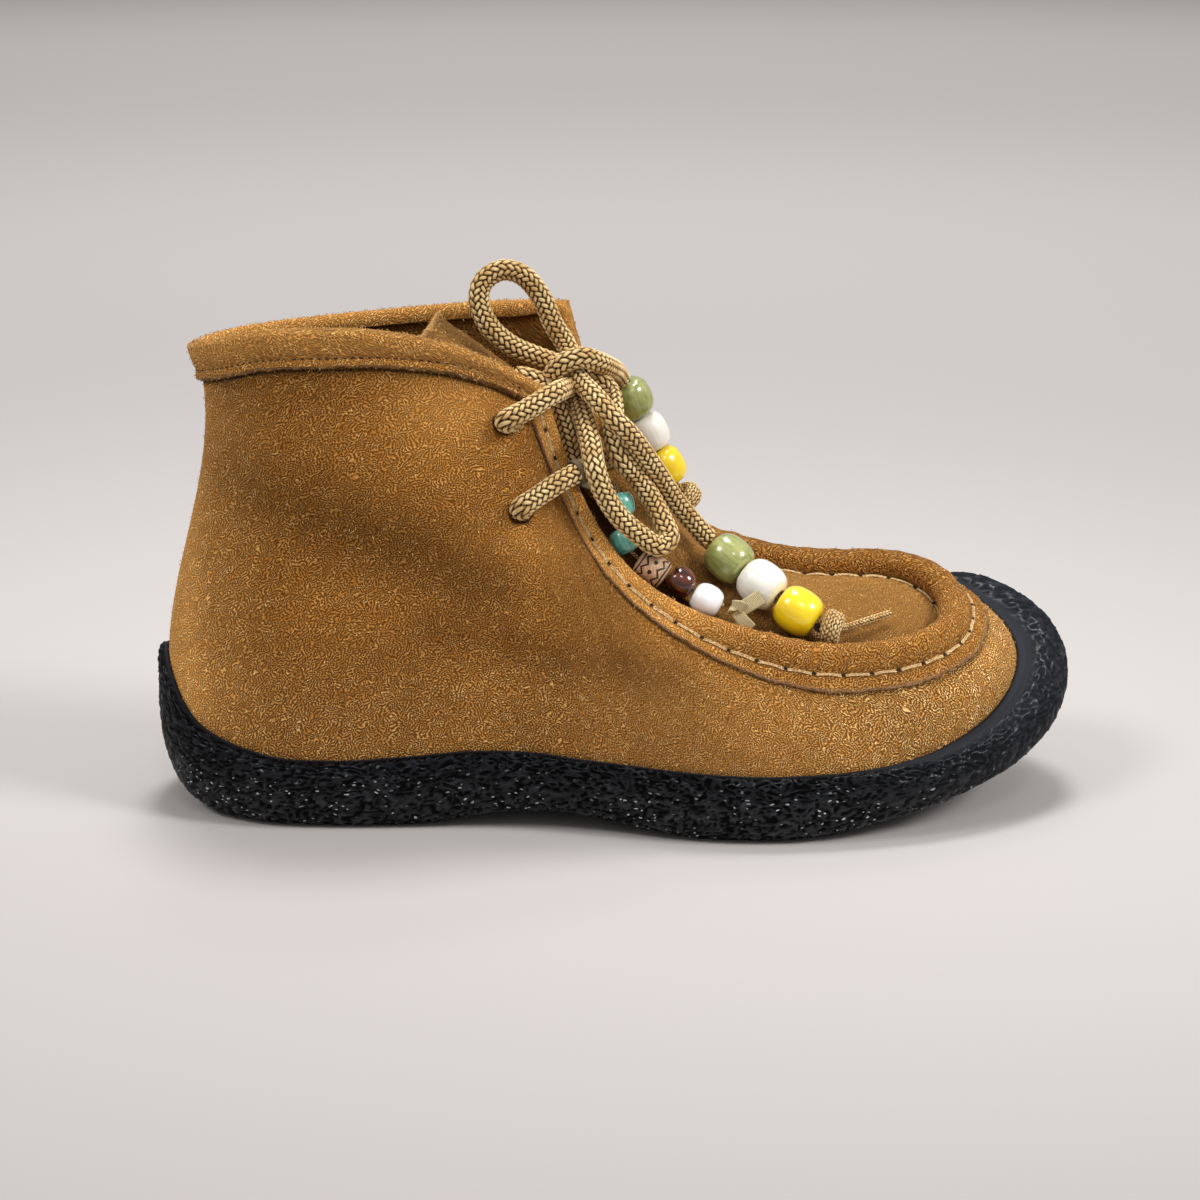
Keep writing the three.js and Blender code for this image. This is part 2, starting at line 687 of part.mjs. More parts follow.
const suede = new THREE.MeshStandardMaterial({ color: 0x9a6a2f, roughness: 0.95, metalness: 0 });
const rubber = new THREE.MeshStandardMaterial({ color: 0x17191c, roughness: 0.6, metalness: 0 });
const lining = new THREE.MeshStandardMaterial({ color: 0x7d5a33, roughness: 0.9, metalness: 0 });

const braid = new THREE.MeshStandardMaterial({ color: 0xa58a5e, roughness: 0.85, metalness: 0 });
const string = new THREE.MeshStandardMaterial({ color: 0xb09a72, roughness: 0.9, metalness: 0 });
const gloss = (color) => new THREE.MeshStandardMaterial({ color, roughness: 0.25, metalness: 0 });

const boot = new THREE.Group();

function addPiece(name, geometry, material) {
  const mesh = new THREE.Mesh(geometry, material);
  mesh.name = name;
  boot.add(mesh);
  return mesh;
}

// Sets a bead at its place with its bore along the string.
function thread(mesh, place, before, after) {
  const along = point(after).sub(point(before)).normalize();
  mesh.position.set(...place);
  mesh.quaternion.setFromUnitVectors(new THREE.Vector3(0, 1, 0), along);
}

addPiece("sole", sole(), rubber);
addPiece("insole", insole(), lining);
addPiece("upper", upper(), suede);
addPiece("apron_tongue", apronTongue(), suede);
addPiece("moc_band", mocBand(), suede);
addPiece("collar_cuff", collarCuff(), suede);

addPiece("lace_bar", cord(ROUTE.bar, LACE, 7), braid);
addPiece("lace_strand_lateral", cord(ROUTE.strand_lateral, LACE, 3), braid);
addPiece("lace_strand_medial", cord(ROUTE.strand_medial, LACE, 4), braid);
const wraps = KNOT_FACINGS.map((facing) => ring(KNOT, facing, KNOT_TURN, LACE));
addPiece("lace_knot", joined(wraps), braid);
addPiece("lace_loop_back", cord(ROUTE.loop_back, LACE, 11), braid);
addPiece("lace_loop_front", cord(ROUTE.loop_front, LACE, 14), braid);
addPiece("lace_end_lateral", cord(ROUTE.end_lateral, LACE, 6), braid);
addPiece("lace_end_medial", cord(ROUTE.end_medial, LACE, 3), braid);

const TAIL = [[67.2, -20.5, 58], [74.4, -16, 58.8], [81.1, -11, 59.4]];
const BEAD_COLOURS = { green: 0x6f7d45, cream: 0xe6dfd0, yellow: 0xf2cf1d };
const ends = [
  { side: "lateral", beads: LATERAL_BEADS, stopper: LATERAL_STOPPER, tail: TAIL, route: ROUTE.end_lateral },
  { side: "medial", beads: MEDIAL_BEADS, stopper: MEDIAL_STOPPER, tail: [], route: ROUTE.end_medial },
];
for (const { side, beads, stopper, tail, route } of ends) {
  const laceEnd = route[route.length - 1];
  const inFirst = point(laceEnd).lerp(point(beads.at[0]), 0.3).toArray();
  addPiece(`lace_tip_${side}`, tip(inFirst, beads, stopper, tail), braid);
  const chain = [laceEnd, ...beads.at, stopper];
  Object.entries(BEAD_COLOURS).forEach(([name, color], i) => {
    const shape = bead(beads.radius, beads.half, BEAD_BORE, BEAD_FULLNESS);
    const piece = addPiece(`bead_${name}_${side}`, shape, gloss(color));
    thread(piece, chain[i + 1], chain[i], chain[i + 2]);
  });
}

const charmBeads = CHARM.map((row) => [row.x, row.y, row.z]);
const charmEnd = point(charmBeads[charmBeads.length - 1]).lerp(point(CHARM_TIE), 0.55).toArray();
const charmChain = [CHARM_TOP, ...charmBeads, charmEnd];
addPiece("charm_cord", cord(charmChain, CHARM_CORD, 20), string);
CHARM.forEach((row, i) => {
  const piece = addPiece(row.name, bead(row.radius, row.half, CHARM_BORE, row.fullness), gloss(row.color));
  thread(piece, charmChain[i + 1], charmChain[i], charmChain[i + 2]);
});
const tie = addPiece("charm_tie", new THREE.BoxGeometry(...CHARM_TIE_SIZE), string);
tie.position.set(...CHARM_TIE);
tie.rotation.y = Math.PI / 5;

export default boot;
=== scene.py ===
import math

import bpy
import numpy as np
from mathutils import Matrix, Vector, noise


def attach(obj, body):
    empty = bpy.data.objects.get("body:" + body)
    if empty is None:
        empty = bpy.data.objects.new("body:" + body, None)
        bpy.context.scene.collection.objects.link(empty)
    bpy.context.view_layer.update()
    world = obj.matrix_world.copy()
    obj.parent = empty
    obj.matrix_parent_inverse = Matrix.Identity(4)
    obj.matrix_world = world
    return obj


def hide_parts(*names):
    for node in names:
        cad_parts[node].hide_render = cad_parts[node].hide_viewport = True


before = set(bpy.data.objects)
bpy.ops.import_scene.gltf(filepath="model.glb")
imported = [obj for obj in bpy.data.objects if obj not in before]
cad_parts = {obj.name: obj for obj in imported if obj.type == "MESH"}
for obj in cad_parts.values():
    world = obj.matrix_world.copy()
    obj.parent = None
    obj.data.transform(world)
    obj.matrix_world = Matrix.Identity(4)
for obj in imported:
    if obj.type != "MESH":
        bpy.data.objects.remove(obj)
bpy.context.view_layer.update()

scene = bpy.context.scene

# Camera
# The boot stands square to the lens, its outer side towards it, and is seen from a little above, as on a
# shop table. The lens is a long one, so the heel and the toe keep their true sizes.
MM = 0.001
LENS = 79.7
TARGET = Vector((-4.9, 0, 60.4)) * MM
DISTANCE = 800 * MM
TILT = math.radians(16)


def placed(name, data):
    made = bpy.data.objects.new(name, data)
    scene.collection.objects.link(made)
    return made


camera = placed("camera", bpy.data.cameras.new("camera"))
camera.data.lens = LENS
camera.location = TARGET + DISTANCE * Vector((0, -math.cos(TILT), math.sin(TILT)))
camera.rotation_euler = (math.pi / 2 - TILT, 0, 0)
scene.camera = camera

# Upper
# One wall of tan suede, flesh side out, cut from a single hide and pulled over the last. It stands in the
# rubber cup and is open at the collar, the throat and over the toes. Its four lace holes are only punched.
SUEDE = 2
GAP = 0.3
HEEL_FLOOR = 16.5
BALL_FLOOR = 12
FLOOR_DROP = (-70, 25)  # between heel and ball
TOE_SPRING = 0.0026
TOE_SPRING_START = 44
CORNERS = (7, 28)  # rows where the collar turns down into the throat
TOE_ROW = 17.5
EDGE_REACH = 1.2  # rows to each side that give the top edge's run
EDGE_SQUARE = 0.85  # how squarely the wall meets that edge
CREASE_START = (4, 18)  # off the boot's middle plane
FOOT_STEP, ROW_STEP, HEIGHT_STEP = 0.05, 0.1, 0.02  # to each side, for directions on the wall
HALVINGS = 30
LINE_STEPS = 61
UPPER_STEPS = 440
EDGE_ROWS = np.concatenate([[0, 1.5, 3], np.linspace(4, 13.6, 25)])  # below the top edge
FACE_ROWS = 40  # from there down to the floor
INSIDE_EVERY = 3  # the inner face takes each third of these rows
ROLL_STARTS, ROLL_ENDS = (9.5, 12.5), (26.5, 23.5)  # rows between which the toe seam rolls up
BAND_SKIRT = 7
BAND_SKIRT_AT_TOE = 8.5
CUFF_DEPTH = 8.8
CUFF_DEPTH_AT_CORNER = 4
CUFF_NARROWS = (2.8, 6.6)  # rows

# A row for each line that climbs the wall, from the back of the heel along the lateral side, round the toe
# and back along the medial side, in millimetres.
COLUMNS = "foot_x foot_y top_x top_y top_z bulge crown shoulder lip spread brow tread".split()
WALL = np.array([
    (-130.5, 0, -123.5, 0, 137.5, 17, -11.5, 0.67, 47, 8, 0.58, -6),  # back of the heel
    (-122.5, -19, -115.5, -17, 141, 13, -8, 0.67, 29.5, 7, 0.55, -4.5),
    (-104, -29, -101, -28.5, 145.5, 8, -4, 0.67, 22, 6, 0.5, -3),
    (-84, -32, -84, -33, 147, 6, -2, 0.67, 20.8, 5, 0.5, -2.5),
    (-63, -32, -66, -33.5, 146.3, 5, -1, 0.67, 22, 5, 0.5, -2.5),
    (-43, -32.2, -48, -30, 142.2, 5, 2, 0.67, 24, 5, 0.5, -2.5),
    (-25, -33.5, -34, -24, 135.5, 6, 5, 0.68, 24.3, 5, 0.5, -2.5),
    (-10, -36, -22, -17.5, 127.5, 7, 8, 0.7, 23, 5, 0.5, -3),  # lateral corner of the collar
    (5, -39.5, -15.5, -20, 107, 7, 10, 0.75, 22.3, 5, 0.5, -3),
    (18, -42.6, -7.5, -24.5, 90, 7, 11, 0.78, 21.7, 5, 0.5, -3.5),
    (30, -44.8, 4, -29.5, 75.5, 6, 11, 0.8, 21.3, 5, 0.5, -3.5),
    (42, -45.5, 20, -33.5, 64, 6, 10, 0.82, 21, 5, 0.5, -3.5),
    (53, -44.8, 38, -35.8, 56, 5, 9, 0.84, 21, 5.2, 0.5, -3.5),  # lateral ball
    (66, -42.5, 57, -35.5, 51.3, 5, 8, 0.85, 21.2, 5.6, 0.5, -5.5),
    (81, -37.5, 75, -32.2, 50.5, 5, 8, 0.85, 22.3, 7, 0.56, -8.5),
    (95, -29.5, 90, -24.5, 51.5, 6, 9, 0.85, 25, 9.5, 0.6, -10),
    (108, -17, 99.5, -13.5, 53, 7, 14, 0.85, 30.5, 13.5, 0.66, -10),
    (116, -3, 103.5, -0.5, 55.3, 8, 18, 0.85, 38, 17.5, 0.72, -10),
    (118.5, 11, 103.5, 10, 58, 9, 20, 0.85, 46, 20, 0.75, -9),  # tip of the toe
    (115.5, 24, 99.5, 19, 60.8, 9, 18.5, 0.85, 53.5, 18.5, 0.72, -8),
    (106, 35, 92, 25.5, 62.5, 8, 16, 0.85, 57, 14, 0.7, -6),
    (91, 42, 81, 29.2, 63, 7, 13, 0.85, 51, 9, 0.62, -5),
    (73, 45, 66, 30.3, 62.7, 6, 13, 0.85, 36, 6, 0.52, -3.5),
    (56, 44.5, 50, 30, 64.2, 6, 13, 0.85, 27, 5, 0.5, -3.5),  # medial ball
    (41, 42.3, 34, 28.5, 69, 6, 12, 0.83, 24, 5, 0.5, -3.5),
    (27, 38.6, 18, 25.5, 77.5, 6, 11, 0.8, 23.3, 5, 0.5, -3),
    (13, 34.5, 4, 22.5, 92, 6, 10, 0.78, 23.5, 5, 0.5, -3),
    (-2, 31, -6, 20, 112, 6, 8, 0.72, 24.5, 5, 0.5, -3),
    (-17, 29, -15.5, 18.5, 147, 5, 5, 0.67, 25, 5, 0.5, -2.5),  # medial corner of the collar
    (-31, 28.5, -28, 25, 145.5, 5, 2, 0.67, 25, 5, 0.5, -2.5),
    (-48, 29, -46, 31.5, 143.5, 5, 0, 0.67, 24, 5, 0.5, -2.5),
    (-66, 30.3, -66, 34.5, 141.3, 5, -1, 0.67, 22.5, 5, 0.5, -2.5),
    (-86, 31, -86, 33.5, 139.5, 6, -2, 0.67, 21.5, 5, 0.5, -2.5),
    (-105, 28, -103, 28.5, 138.3, 8, -4, 0.67, 22.5, 6, 0.5, -3),
    (-122.5, 18.5, -116, 17, 137.8, 13, -8, 0.67, 30, 7, 0.55, -4.5),
])
ROWS = len(WALL)

# Soft creases of a worn ankle: the side it is on, from where to where along the wall, and how wide and deep.
CREASES = np.array([
    # side, from x, from z, to x, to z, half width, depth (a ridge is negative)
    (-1, -106, 99, -79, 88, 11, 2.8),
    (-1, -79, 88, -42, 73, 12, 3.2),
    (-1, -54, 60, -18, 50, 8, 2),
    (-1, -18, 50, 14, 47, 8, 1.6),
    (-1, -112, 130, -88, 126, 9, 1.4),
    (-1, -84, 119, -46, 104, 14, -1.6),
    (-1, -104, 62, -64, 64, 12, -0.5),
    (-1, -44, 112, -12, 84, 11, -0.7),
    (1, -112, 98, -70, 88, 10, 2.2),
    (1, -70, 88, -30, 72, 10, 2.4),
    (1, -40, 62, 5, 54, 9, 1.6),
    (1, -80, 115, -35, 104, 14, -1.2),
])


def mix(a, b, t):
    return a + (b - a) * t


def smooth_step(start, end, x):
    t = np.clip((x - start) / (end - start), 0, 1)
    return t * t * (3 - 2 * t)


def unit(vectors):
    return vectors / np.linalg.norm(vectors, axis=-1, keepdims=True)


def bezier(a, b, c, d, t):
    return (1 - t) ** 3 * a + 3 * (1 - t) ** 2 * t * b + 3 * (1 - t) * t * t * c + t ** 3 * d


def wall_value(column, around, sharp=False):
    values = WALL[:, COLUMNS.index(column)]
    row = np.floor(around).astype(int)
    t = around - row
    a, b, c, d = (values[(row + k) % ROWS] for k in (-1, 0, 1, 2))
    if sharp:
        a = np.where(np.isin(row % ROWS, CORNERS), 2 * b - c, a)
        d = np.where(np.isin((row + 1) % ROWS, CORNERS), 2 * c - b, d)
    rise = t * t * (3 - 2 * t)
    return mix(b, c, rise) + t * (1 - t) * ((1 - t) * (c - a) - t * (d - b)) / 2


def toe_spring(x):
    return TOE_SPRING * np.maximum(0, x - TOE_SPRING_START) ** 2


def floor_height(x):
    return mix(HEEL_FLOOR, BALL_FLOOR, smooth_step(*FLOOR_DROP, x)) + toe_spring(x)


def foot_point(around):
    x = wall_value("foot_x", around)
    return np.stack([x, wall_value("foot_y", around), floor_height(x) + GAP], -1)


def top_point(around):
    return np.stack([wall_value("top_" + axis, around, True) for axis in "xyz"], -1)


def outward(around):
    along = foot_point(around + FOOT_STEP) - foot_point(around - FOOT_STEP)
    return unit(np.stack([along[..., 1], -along[..., 0], 0 * along[..., 0]], -1))


def wall(around, height):
    around, height = np.broadcast_arrays(np.asarray(around, float), np.asarray(height, float))
    foot, top, out = foot_point(around), top_point(around), outward(around)
    rise = top[..., 2] - foot[..., 2]
    lower = foot + out * wall_value("bulge", around)[..., None]
    lower[..., 2] += rise / 3
    arm = out * wall_value("crown", around)[..., None]
    arm[..., 2] -= rise * (1 - wall_value("shoulder", around))
    edge = unit(top_point(around + EDGE_REACH) - top_point(around - EDGE_REACH))
    arm -= EDGE_SQUARE * np.sum(arm * edge, -1, keepdims=True) * edge
    return bezier(foot, lower, top + arm, top, height[..., None])


def crease(points):
    trough, ridge = np.zeros(points.shape[:-1]), np.zeros(points.shape[:-1])
    for side, from_x, from_z, to_x, to_z, width, deep in CREASES:
        start = np.array((from_x, from_z))
        run = np.array((to_x, to_z)) - start
        away = points[..., (0, 2)] - start
        t = np.clip(away @ run / (run @ run), 0, 1)
        distance = np.linalg.norm(away - t[..., None] * run, axis=-1)
        depth = deep * smooth_step(*CREASE_START, side * points[..., 1]) * np.exp(-((distance / width) ** 2))
        trough, ridge = np.maximum(trough, depth), np.minimum(ridge, depth)
    return trough + ridge


def wall_normal(around, height):
    above, under = np.minimum(1, height + HEIGHT_STEP), np.maximum(0, height - HEIGHT_STEP)
    up = wall(around, above) - wall(around, under)
    along = wall(around + ROW_STEP, height) - wall(around - ROW_STEP, height)
    return unit(np.cross(along, up))


def off_wall(around, height, distance):
    around, height, distance = np.broadcast_arrays(around, height, distance)
    place = wall(around, height)
    return place + wall_normal(around, height) * distance[..., None]


# The height on the wall, from 0 to 1, where it is at a level z.
def height_at(around, z):
    low, high = np.zeros_like(around), np.ones_like(around)
    for _ in range(HALVINGS):
        middle = (low + high) / 2
        below = wall(around, middle)[..., 2] < z
        low, high = np.where(below, middle, low), np.where(below, high, middle)
    return (low + high) / 2


# Lengths over a grid of points, in millimetres along both of its directions: the pattern's own coordinates.
def grid_lengths(grid, wraps_along, wraps_across, start):
    if wraps_along:
        grid = np.concatenate([grid, grid[:1]])
    if wraps_across:
        grid = np.concatenate([grid, grid[:, :1]], 1)
    u = np.cumsum(np.linalg.norm(np.diff(grid, axis=0, prepend=grid[:1]), axis=-1), 0)
    v = np.cumsum(np.linalg.norm(np.diff(grid, axis=1, prepend=grid[:, :1]), axis=-1), 1)
    return np.stack([u - u[start], v], -1)


# A closed or open skin over a grid of points in millimetres, turned so that its faces point out.
def grid_piece(name, grid, material, wraps_along=False, wraps_across=False, caps=False, start=0, fields={}):
    count, size = grid.shape[:2]
    i, j = np.meshgrid(
        np.arange(count - (not wraps_along)), np.arange(size - (not wraps_across)), indexing="ij")
    corner_i = np.stack([i, i + 1, i + 1, i], -1).reshape(-1, 4)
    corner_j = np.stack([j, j, j + 1, j + 1], -1).reshape(-1, 4)
    points = grid.reshape(-1, 3)
    faces = corner_i % count * size + corner_j % size
    a, b, c, d = (points[faces[:, k]] for k in range(4))
    volume = np.sum(a * np.cross(b, c)) + np.sum(a * np.cross(c, d))
    order = (0, 1, 2, 3) if volume > 0 else (3, 2, 1, 0)
    polygons = faces[:, order].tolist()
    lengths = grid_lengths(grid, wraps_along, wraps_across, start)
    uv = lengths[corner_i[:, order], corner_j[:, order]].reshape(-1, 2)
    if caps:
        ends = [list(range(size)), list(range((count - 1) * size, count * size))[::-1]]
        polygons += ends if volume > 0 else [end[::-1] for end in ends]
        uv = np.concatenate([uv, np.zeros((2 * size, 2))])
    mesh = bpy.data.meshes.new(name)
    mesh.from_pydata((points * MM).tolist(), [], polygons)
    mesh.uv_layers.new(name="lengths").data.foreach_set("uv", (uv * MM).ravel())
    for label, values in fields.items():
        values = np.broadcast_to(values, (count, size)).ravel().astype(np.float32)
        mesh.attributes.new(label, "FLOAT", "POINT").data.foreach_set("value", values)
    mesh.materials.append(material)
    mesh.shade_smooth()
    return placed(name, mesh)


# A finished piece is part of the one body and may stand for nodes of the plain model, which it hides.
def stands_for(piece, slot, *nodes):
    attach(piece, "root")
    if nodes:
        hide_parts(*nodes)


def rgb(red, green, blue):
    """A colour as a screen shows it, 0 to 255, in the linear light that shaders use."""
    screen = np.array((red, green, blue)) / 255
    linear = np.where(screen < 0.04045, screen / 12.92, ((screen + 0.055) / 1.055) ** 2.4)
    return (*linear.tolist(), 1)


class Wire:
    """A node's socket. Arithmetic on wires adds Math nodes, and node() adds any other node to their tree."""

    def __init__(self, tree, socket=None):
        self.tree = tree
        self.socket = socket

    def node(self, kind, settings={}, sockets={}, out=0):
        node = self.tree.nodes.new(kind)
        for name, value in settings.items():
            setattr(node, name, value)
        for name, value in sockets.items():
            if isinstance(value, Wire):
                self.tree.links.new(value.socket, node.inputs[name])
            else:
                node.inputs[name].default_value = value
        return Wire(self.tree, node.outputs[out] if node.outputs else None)

    def math(self, operation, first, second):
        return self.node("ShaderNodeMath", {"operation": operation}, {0: first, 1: second})

    def __add__(self, other):
        return self.math("ADD", self, other)

    def __sub__(self, other):
        return self.math("SUBTRACT", self, other)

    def __rsub__(self, other):
        return self.math("SUBTRACT", other, self)

    def __mul__(self, other):
        return self.math("MULTIPLY", self, other)

    __radd__ = __add__
    __rmul__ = __mul__


def between(wire, low, high):
    return wire.node("ShaderNodeMapRange", {"interpolation_type": "SMOOTHSTEP"},
                     {"Value": wire, "From Min": low, "From Max": high})


def blend(factor, first, second):
    return factor.node("ShaderNodeMix", {"data_type": "RGBA"}, {0: factor, 6: first, 7: second}, out=2)


def field(wire, label, out=2):
    return wire.node("ShaderNodeAttribute", {"attribute_name": label}, out=out)


# A point's place on its own piece, in millimetres along the surface.
def surface_place(wire):
    place = wire.node("ShaderNodeUVMap", {"uv_map": "lengths"})
    return wire.node("ShaderNodeVectorMath", {"operation": "SCALE"}, {0: place, "Scale": 1 / MM})


def clouds(wire, place, scale, detail=2.0, **more):
    return wire.node("ShaderNodeTexNoise", {}, {"Vector": place, "Scale": scale, "Detail": detail, **more})


# A place pushed about by soft noise, which bends the pattern that is read there.
def stirred(wire, place, scale, reach):
    stir = wire.node("ShaderNodeTexNoise", {}, {"Vector": place, "Scale": scale, "Detail": 1.0}, out=1)
    return wire.node("ShaderNodeVectorMath", {"operation": "MULTIPLY_ADD"}, {0: stir, 1: reach, 2: place})


def material_of(name):
    material = bpy.data.materials.new(name)
    material.use_nodes = True
    material.node_tree.nodes.clear()
    return material, Wire(material.node_tree)


def shade(wire, bump, depth, sockets):
    normal = wire.node("ShaderNodeBump", {}, {"Strength": 1.0, "Distance": depth, "Height": bump})
    shader = wire.node("ShaderNodeBsdfPrincipled", {}, {"Normal": normal, **sockets})
    wire.node("ShaderNodeOutputMaterial", {}, {"Surface": shader})


# Suede's nap lies in short curled fibres about a millimetre apart, paler than the hide under them. They are
# deeper where "coarse" is 1. Painted light makes them paler and brighter where a piece is lit, and painted
# shade makes them darker in creases, under the edges of the strips, inside the boot, at the tongue's end and
# beside the toe's roll. A cut edge, where "raw" is 1, shows the inside of the hide.
def suede(name, deep, hide, nap, fleck, cut_low, cut_high):
    material, wire = material_of(name)
    coarse, raw, painted_light, sunk_and_painted_shade = (field(wire, label) for label in ("coarse", "raw", "painted_light", "sunk_and_painted_shade"))
    place = surface_place(wire)
    phase = wire.node("ShaderNodeTexGabor", {"gabor_type": "2D"}, {
        "Vector": stirred(wire, place, 0.3, (3.2, 3.2, 0)), "Scale": 0.44, "Frequency": 2.7,
        "Anisotropy": 0.1, "Orientation": 0.4}, out=1)
    curls = wire.math("PINGPONG", phase, 0.5) * 2.0
    fine = clouds(wire, place, 2.6, 2.0)
    patches = clouds(wire, place, 0.045, 3.0)
    tufts = clouds(wire, place, 0.25, 3.0)
    strewn = between(clouds(wire, place, 0.9, 1.0), 0.6, 0.74)
    fibre = between(curls + (fine - 0.5) * 0.6, 0.2, 0.62)
    crest = between(curls + (fine - 0.5) * 0.9 + (tufts - 0.5) * 0.8, 0.68, 1.0)
    hue = blend(fibre, deep, hide)
    hue = blend(crest * (0.65 + coarse * 0.35), hue, nap)
    hue = blend(crest * (strewn * 0.6 + coarse * 0.4), hue, fleck)
    # Painted light: lit places are blended towards the pale nap and brightened. Painted shade: shaded places
    # are darkened.
    hue = blend(painted_light * 0.12, hue, nap)
    value = (0.71 + patches * 0.5 + tufts * 0.14) * (1 - sunk_and_painted_shade * 0.11) * (1 + painted_light * 0.35)
    value = value * (1 - coarse * (1 - fibre) * 0.36)
    tone = wire.node("ShaderNodeHueSaturation", {}, {"Color": hue, "Value": value})
    cut = blend(between(fine, 0.35, 0.65), cut_low, cut_high)
    height = fibre * (0.6 + coarse * 1.2) + crest * 0.5 + fine * 0.3
    shade(wire, height, 0.5 * MM, {
        "Base Color": blend(raw, tone, cut), "Roughness": 0.95, "Specular IOR Level": 0.1,
        "Sheen Weight": 0.1, "Sheen Roughness": 0.45, "Sheen Tint": rgb(255, 222, 160)})
    return material


tan_suede = suede("tan_suede", rgb(106, 63, 18), rgb(180, 117, 46), rgb(234, 177, 100), rgb(255, 230, 172),
                  rgb(120, 78, 50), rgb(214, 168, 124))


# How far the seam round the toe is rolled up, from 0 beside the throat to 1.
def rolled(around):
    return smooth_step(*ROLL_STARTS, around) * smooth_step(*ROLL_ENDS, around)


# How far down the wall the band or the cuff covers it.
def covered(around):
    skirt = mix(BAND_SKIRT, BAND_SKIRT_AT_TOE, rolled(around))
    fold = mix(CUFF_DEPTH, CUFF_DEPTH_AT_CORNER, smooth_step(*CUFF_NARROWS, around) * (around < CORNERS[0]))
    return np.where((around > CORNERS[0]) & (around < CORNERS[1]), skirt, fold)


# Heights on the wall at distances from its top edge, in millimetres along it.
def heights_below(around, distance):
    heights = np.linspace(1, 0, LINE_STEPS)
    line = wall(around[:, None], heights)
    run = np.cumsum(np.linalg.norm(np.diff(line, axis=1, prepend=line[:, :1]), axis=-1), 1)
    return np.array([np.interp(d, r, heights) for d, r in zip(distance, run)])


# Rows lie close under the top edge, where a painted shadow lines the lower edges of the strips.
around = np.linspace(0, ROWS, UPPER_STEPS, endpoint=False)[:, None]
lines = wall(around, np.linspace(0, 1, LINE_STEPS))
foot_run = np.linalg.norm(np.diff(lines, axis=1), axis=-1).sum(1, keepdims=True)
face_rows = EDGE_ROWS[-1] + (foot_run - EDGE_ROWS[-1]) * np.linspace(0, 1, FACE_ROWS)[1:]
below = np.concatenate([np.broadcast_to(EDGE_ROWS, (UPPER_STEPS, len(EDGE_ROWS))), face_rows], 1)
height = heights_below(around[:, 0], below)
outside = wall(around, height)
normal = wall_normal(around, height)
# The creases sink the wall, and the same depths are painted into the nap: painted shade in their troughs and
# painted light on their ridges.
sunk_and_painted_shade = crease(outside)
outside = outside - normal * sunk_and_painted_shade[..., None]
inside = (outside - normal * SUEDE)[:, ::-INSIDE_EVERY]
shell = np.concatenate([outside, inside], 1)

# Where painted light brightens the nap and, at the toe, the heel and low on the wall, where the nap is also
# coarser: along x (0) or z (2), from where it starts to where it is full.
LIT_AND_COARSE_AREAS = {
    "vamp": (0, -30, 30), "toe": (0, 20, 90), "toe_side": (2, 72, 48), "tip": (0, 85, 112),
    "heel": (0, -95, -120), "heel_back": (0, -116, -128), "low": (2, 62, 34),
}
# Painted light beside the lateral eyelets, where the laces shade the wall.
BESIDE_EYELETS = (
    # x, z, half length, half height, how much painted light
    (-42, 127, 22, 13, 1.4),
    (-26, 89, 16, 11, 0.7),
)
# Painted shadow just below the lower edges of the band and the cuff: how dark it is, and how far past the
# edge.
BAND_EDGE_SHADOW, CUFF_EDGE_SHADOW = (4.5, 0.8), (8, 1.3)  # how dark the nap is by a strip, and how far past its edge
EDGE_SHADOW_WIDTH = 0.65
wear_and_painted_light = {part: smooth_step(start, full, outside[..., axis]) for part, (axis, start, full) in LIT_AND_COARSE_AREAS.items()}
toe_nap = wear_and_painted_light["toe"] * wear_and_painted_light["toe_side"]
curled = np.maximum(toe_nap, 0.4 * np.maximum(wear_and_painted_light["heel"], wear_and_painted_light["low"]))
# Painted light: the vamp, the toe and its tip, the heel and its back, the foot of the wall and the wall just
# above the rubber's lip are painted brighter.
painted_light = 0.35 * wear_and_painted_light["vamp"] + 0.4 * (toe_nap + wear_and_painted_light["tip"]) + 0.9 * wear_and_painted_light["heel"] + wear_and_painted_light["heel_back"]
painted_light += 0.3 * wear_and_painted_light["low"] + 0.2 * smooth_step(9, 1, outside[..., 2] - wall_value("lip", around))
for at_x, at_z, long, high, pale in BESIDE_EYELETS:
    away = ((outside[..., 0] - at_x) / long) ** 2 + ((outside[..., 2] - at_z) / high) ** 2
    painted_light += pale * np.exp(-away) * (outside[..., 1] < 0)
under_band = (around > CORNERS[0]) & (around < CORNERS[1])
dark, past = (np.where(under_band, *pair) for pair in zip(BAND_EDGE_SHADOW, CUFF_EDGE_SHADOW))
strip_edge_shadow = dark * np.exp(-(((below - covered(around) - past) / EDGE_SHADOW_WIDTH) ** 2))


def both_sides(outer, inner):
    return np.concatenate([outer, np.full(inside.shape[:2], inner)], 1)


# The whole inner face is painted darker: painted shade inside the boot.
upper = grid_piece(
    "upper_suede", shell, tan_suede, wraps_along=True, wraps_across=True, start=UPPER_STEPS // 2,
    fields={"coarse": both_sides(curled, 0), "raw": 0, "nap": both_sides(mix(0.45, 1, toe_nap), 0),
            "painted_light": both_sides(painted_light, 0), "sunk_and_painted_shade": both_sides(sunk_and_painted_shade + strip_edge_shadow, 3.5)})

EYELET = 7
PUNCH = 24
EYELETS = ((-32, -26, 120.3), (-27.6, -30, 95.3), (-20, 25, 121.4), (-15, 28, 96.3))
for hole in EYELETS:
    bpy.ops.mesh.primitive_cylinder_add(
        vertices=32, radius=EYELET / 2 * MM, depth=PUNCH * MM, location=Vector(hole) * MM,
        rotation=(math.pi / 2, 0, 0))
    punch = bpy.context.object
    cut = upper.modifiers.new("punch", "BOOLEAN")
    cut.operation, cut.object, cut.solver = "DIFFERENCE", punch, "EXACT"
    with bpy.context.temp_override(object=upper, active_object=upper):
        bpy.ops.object.modifier_apply(modifier=cut.name)
    bpy.data.objects.remove(punch)
stands_for(upper, "suede", "upper")

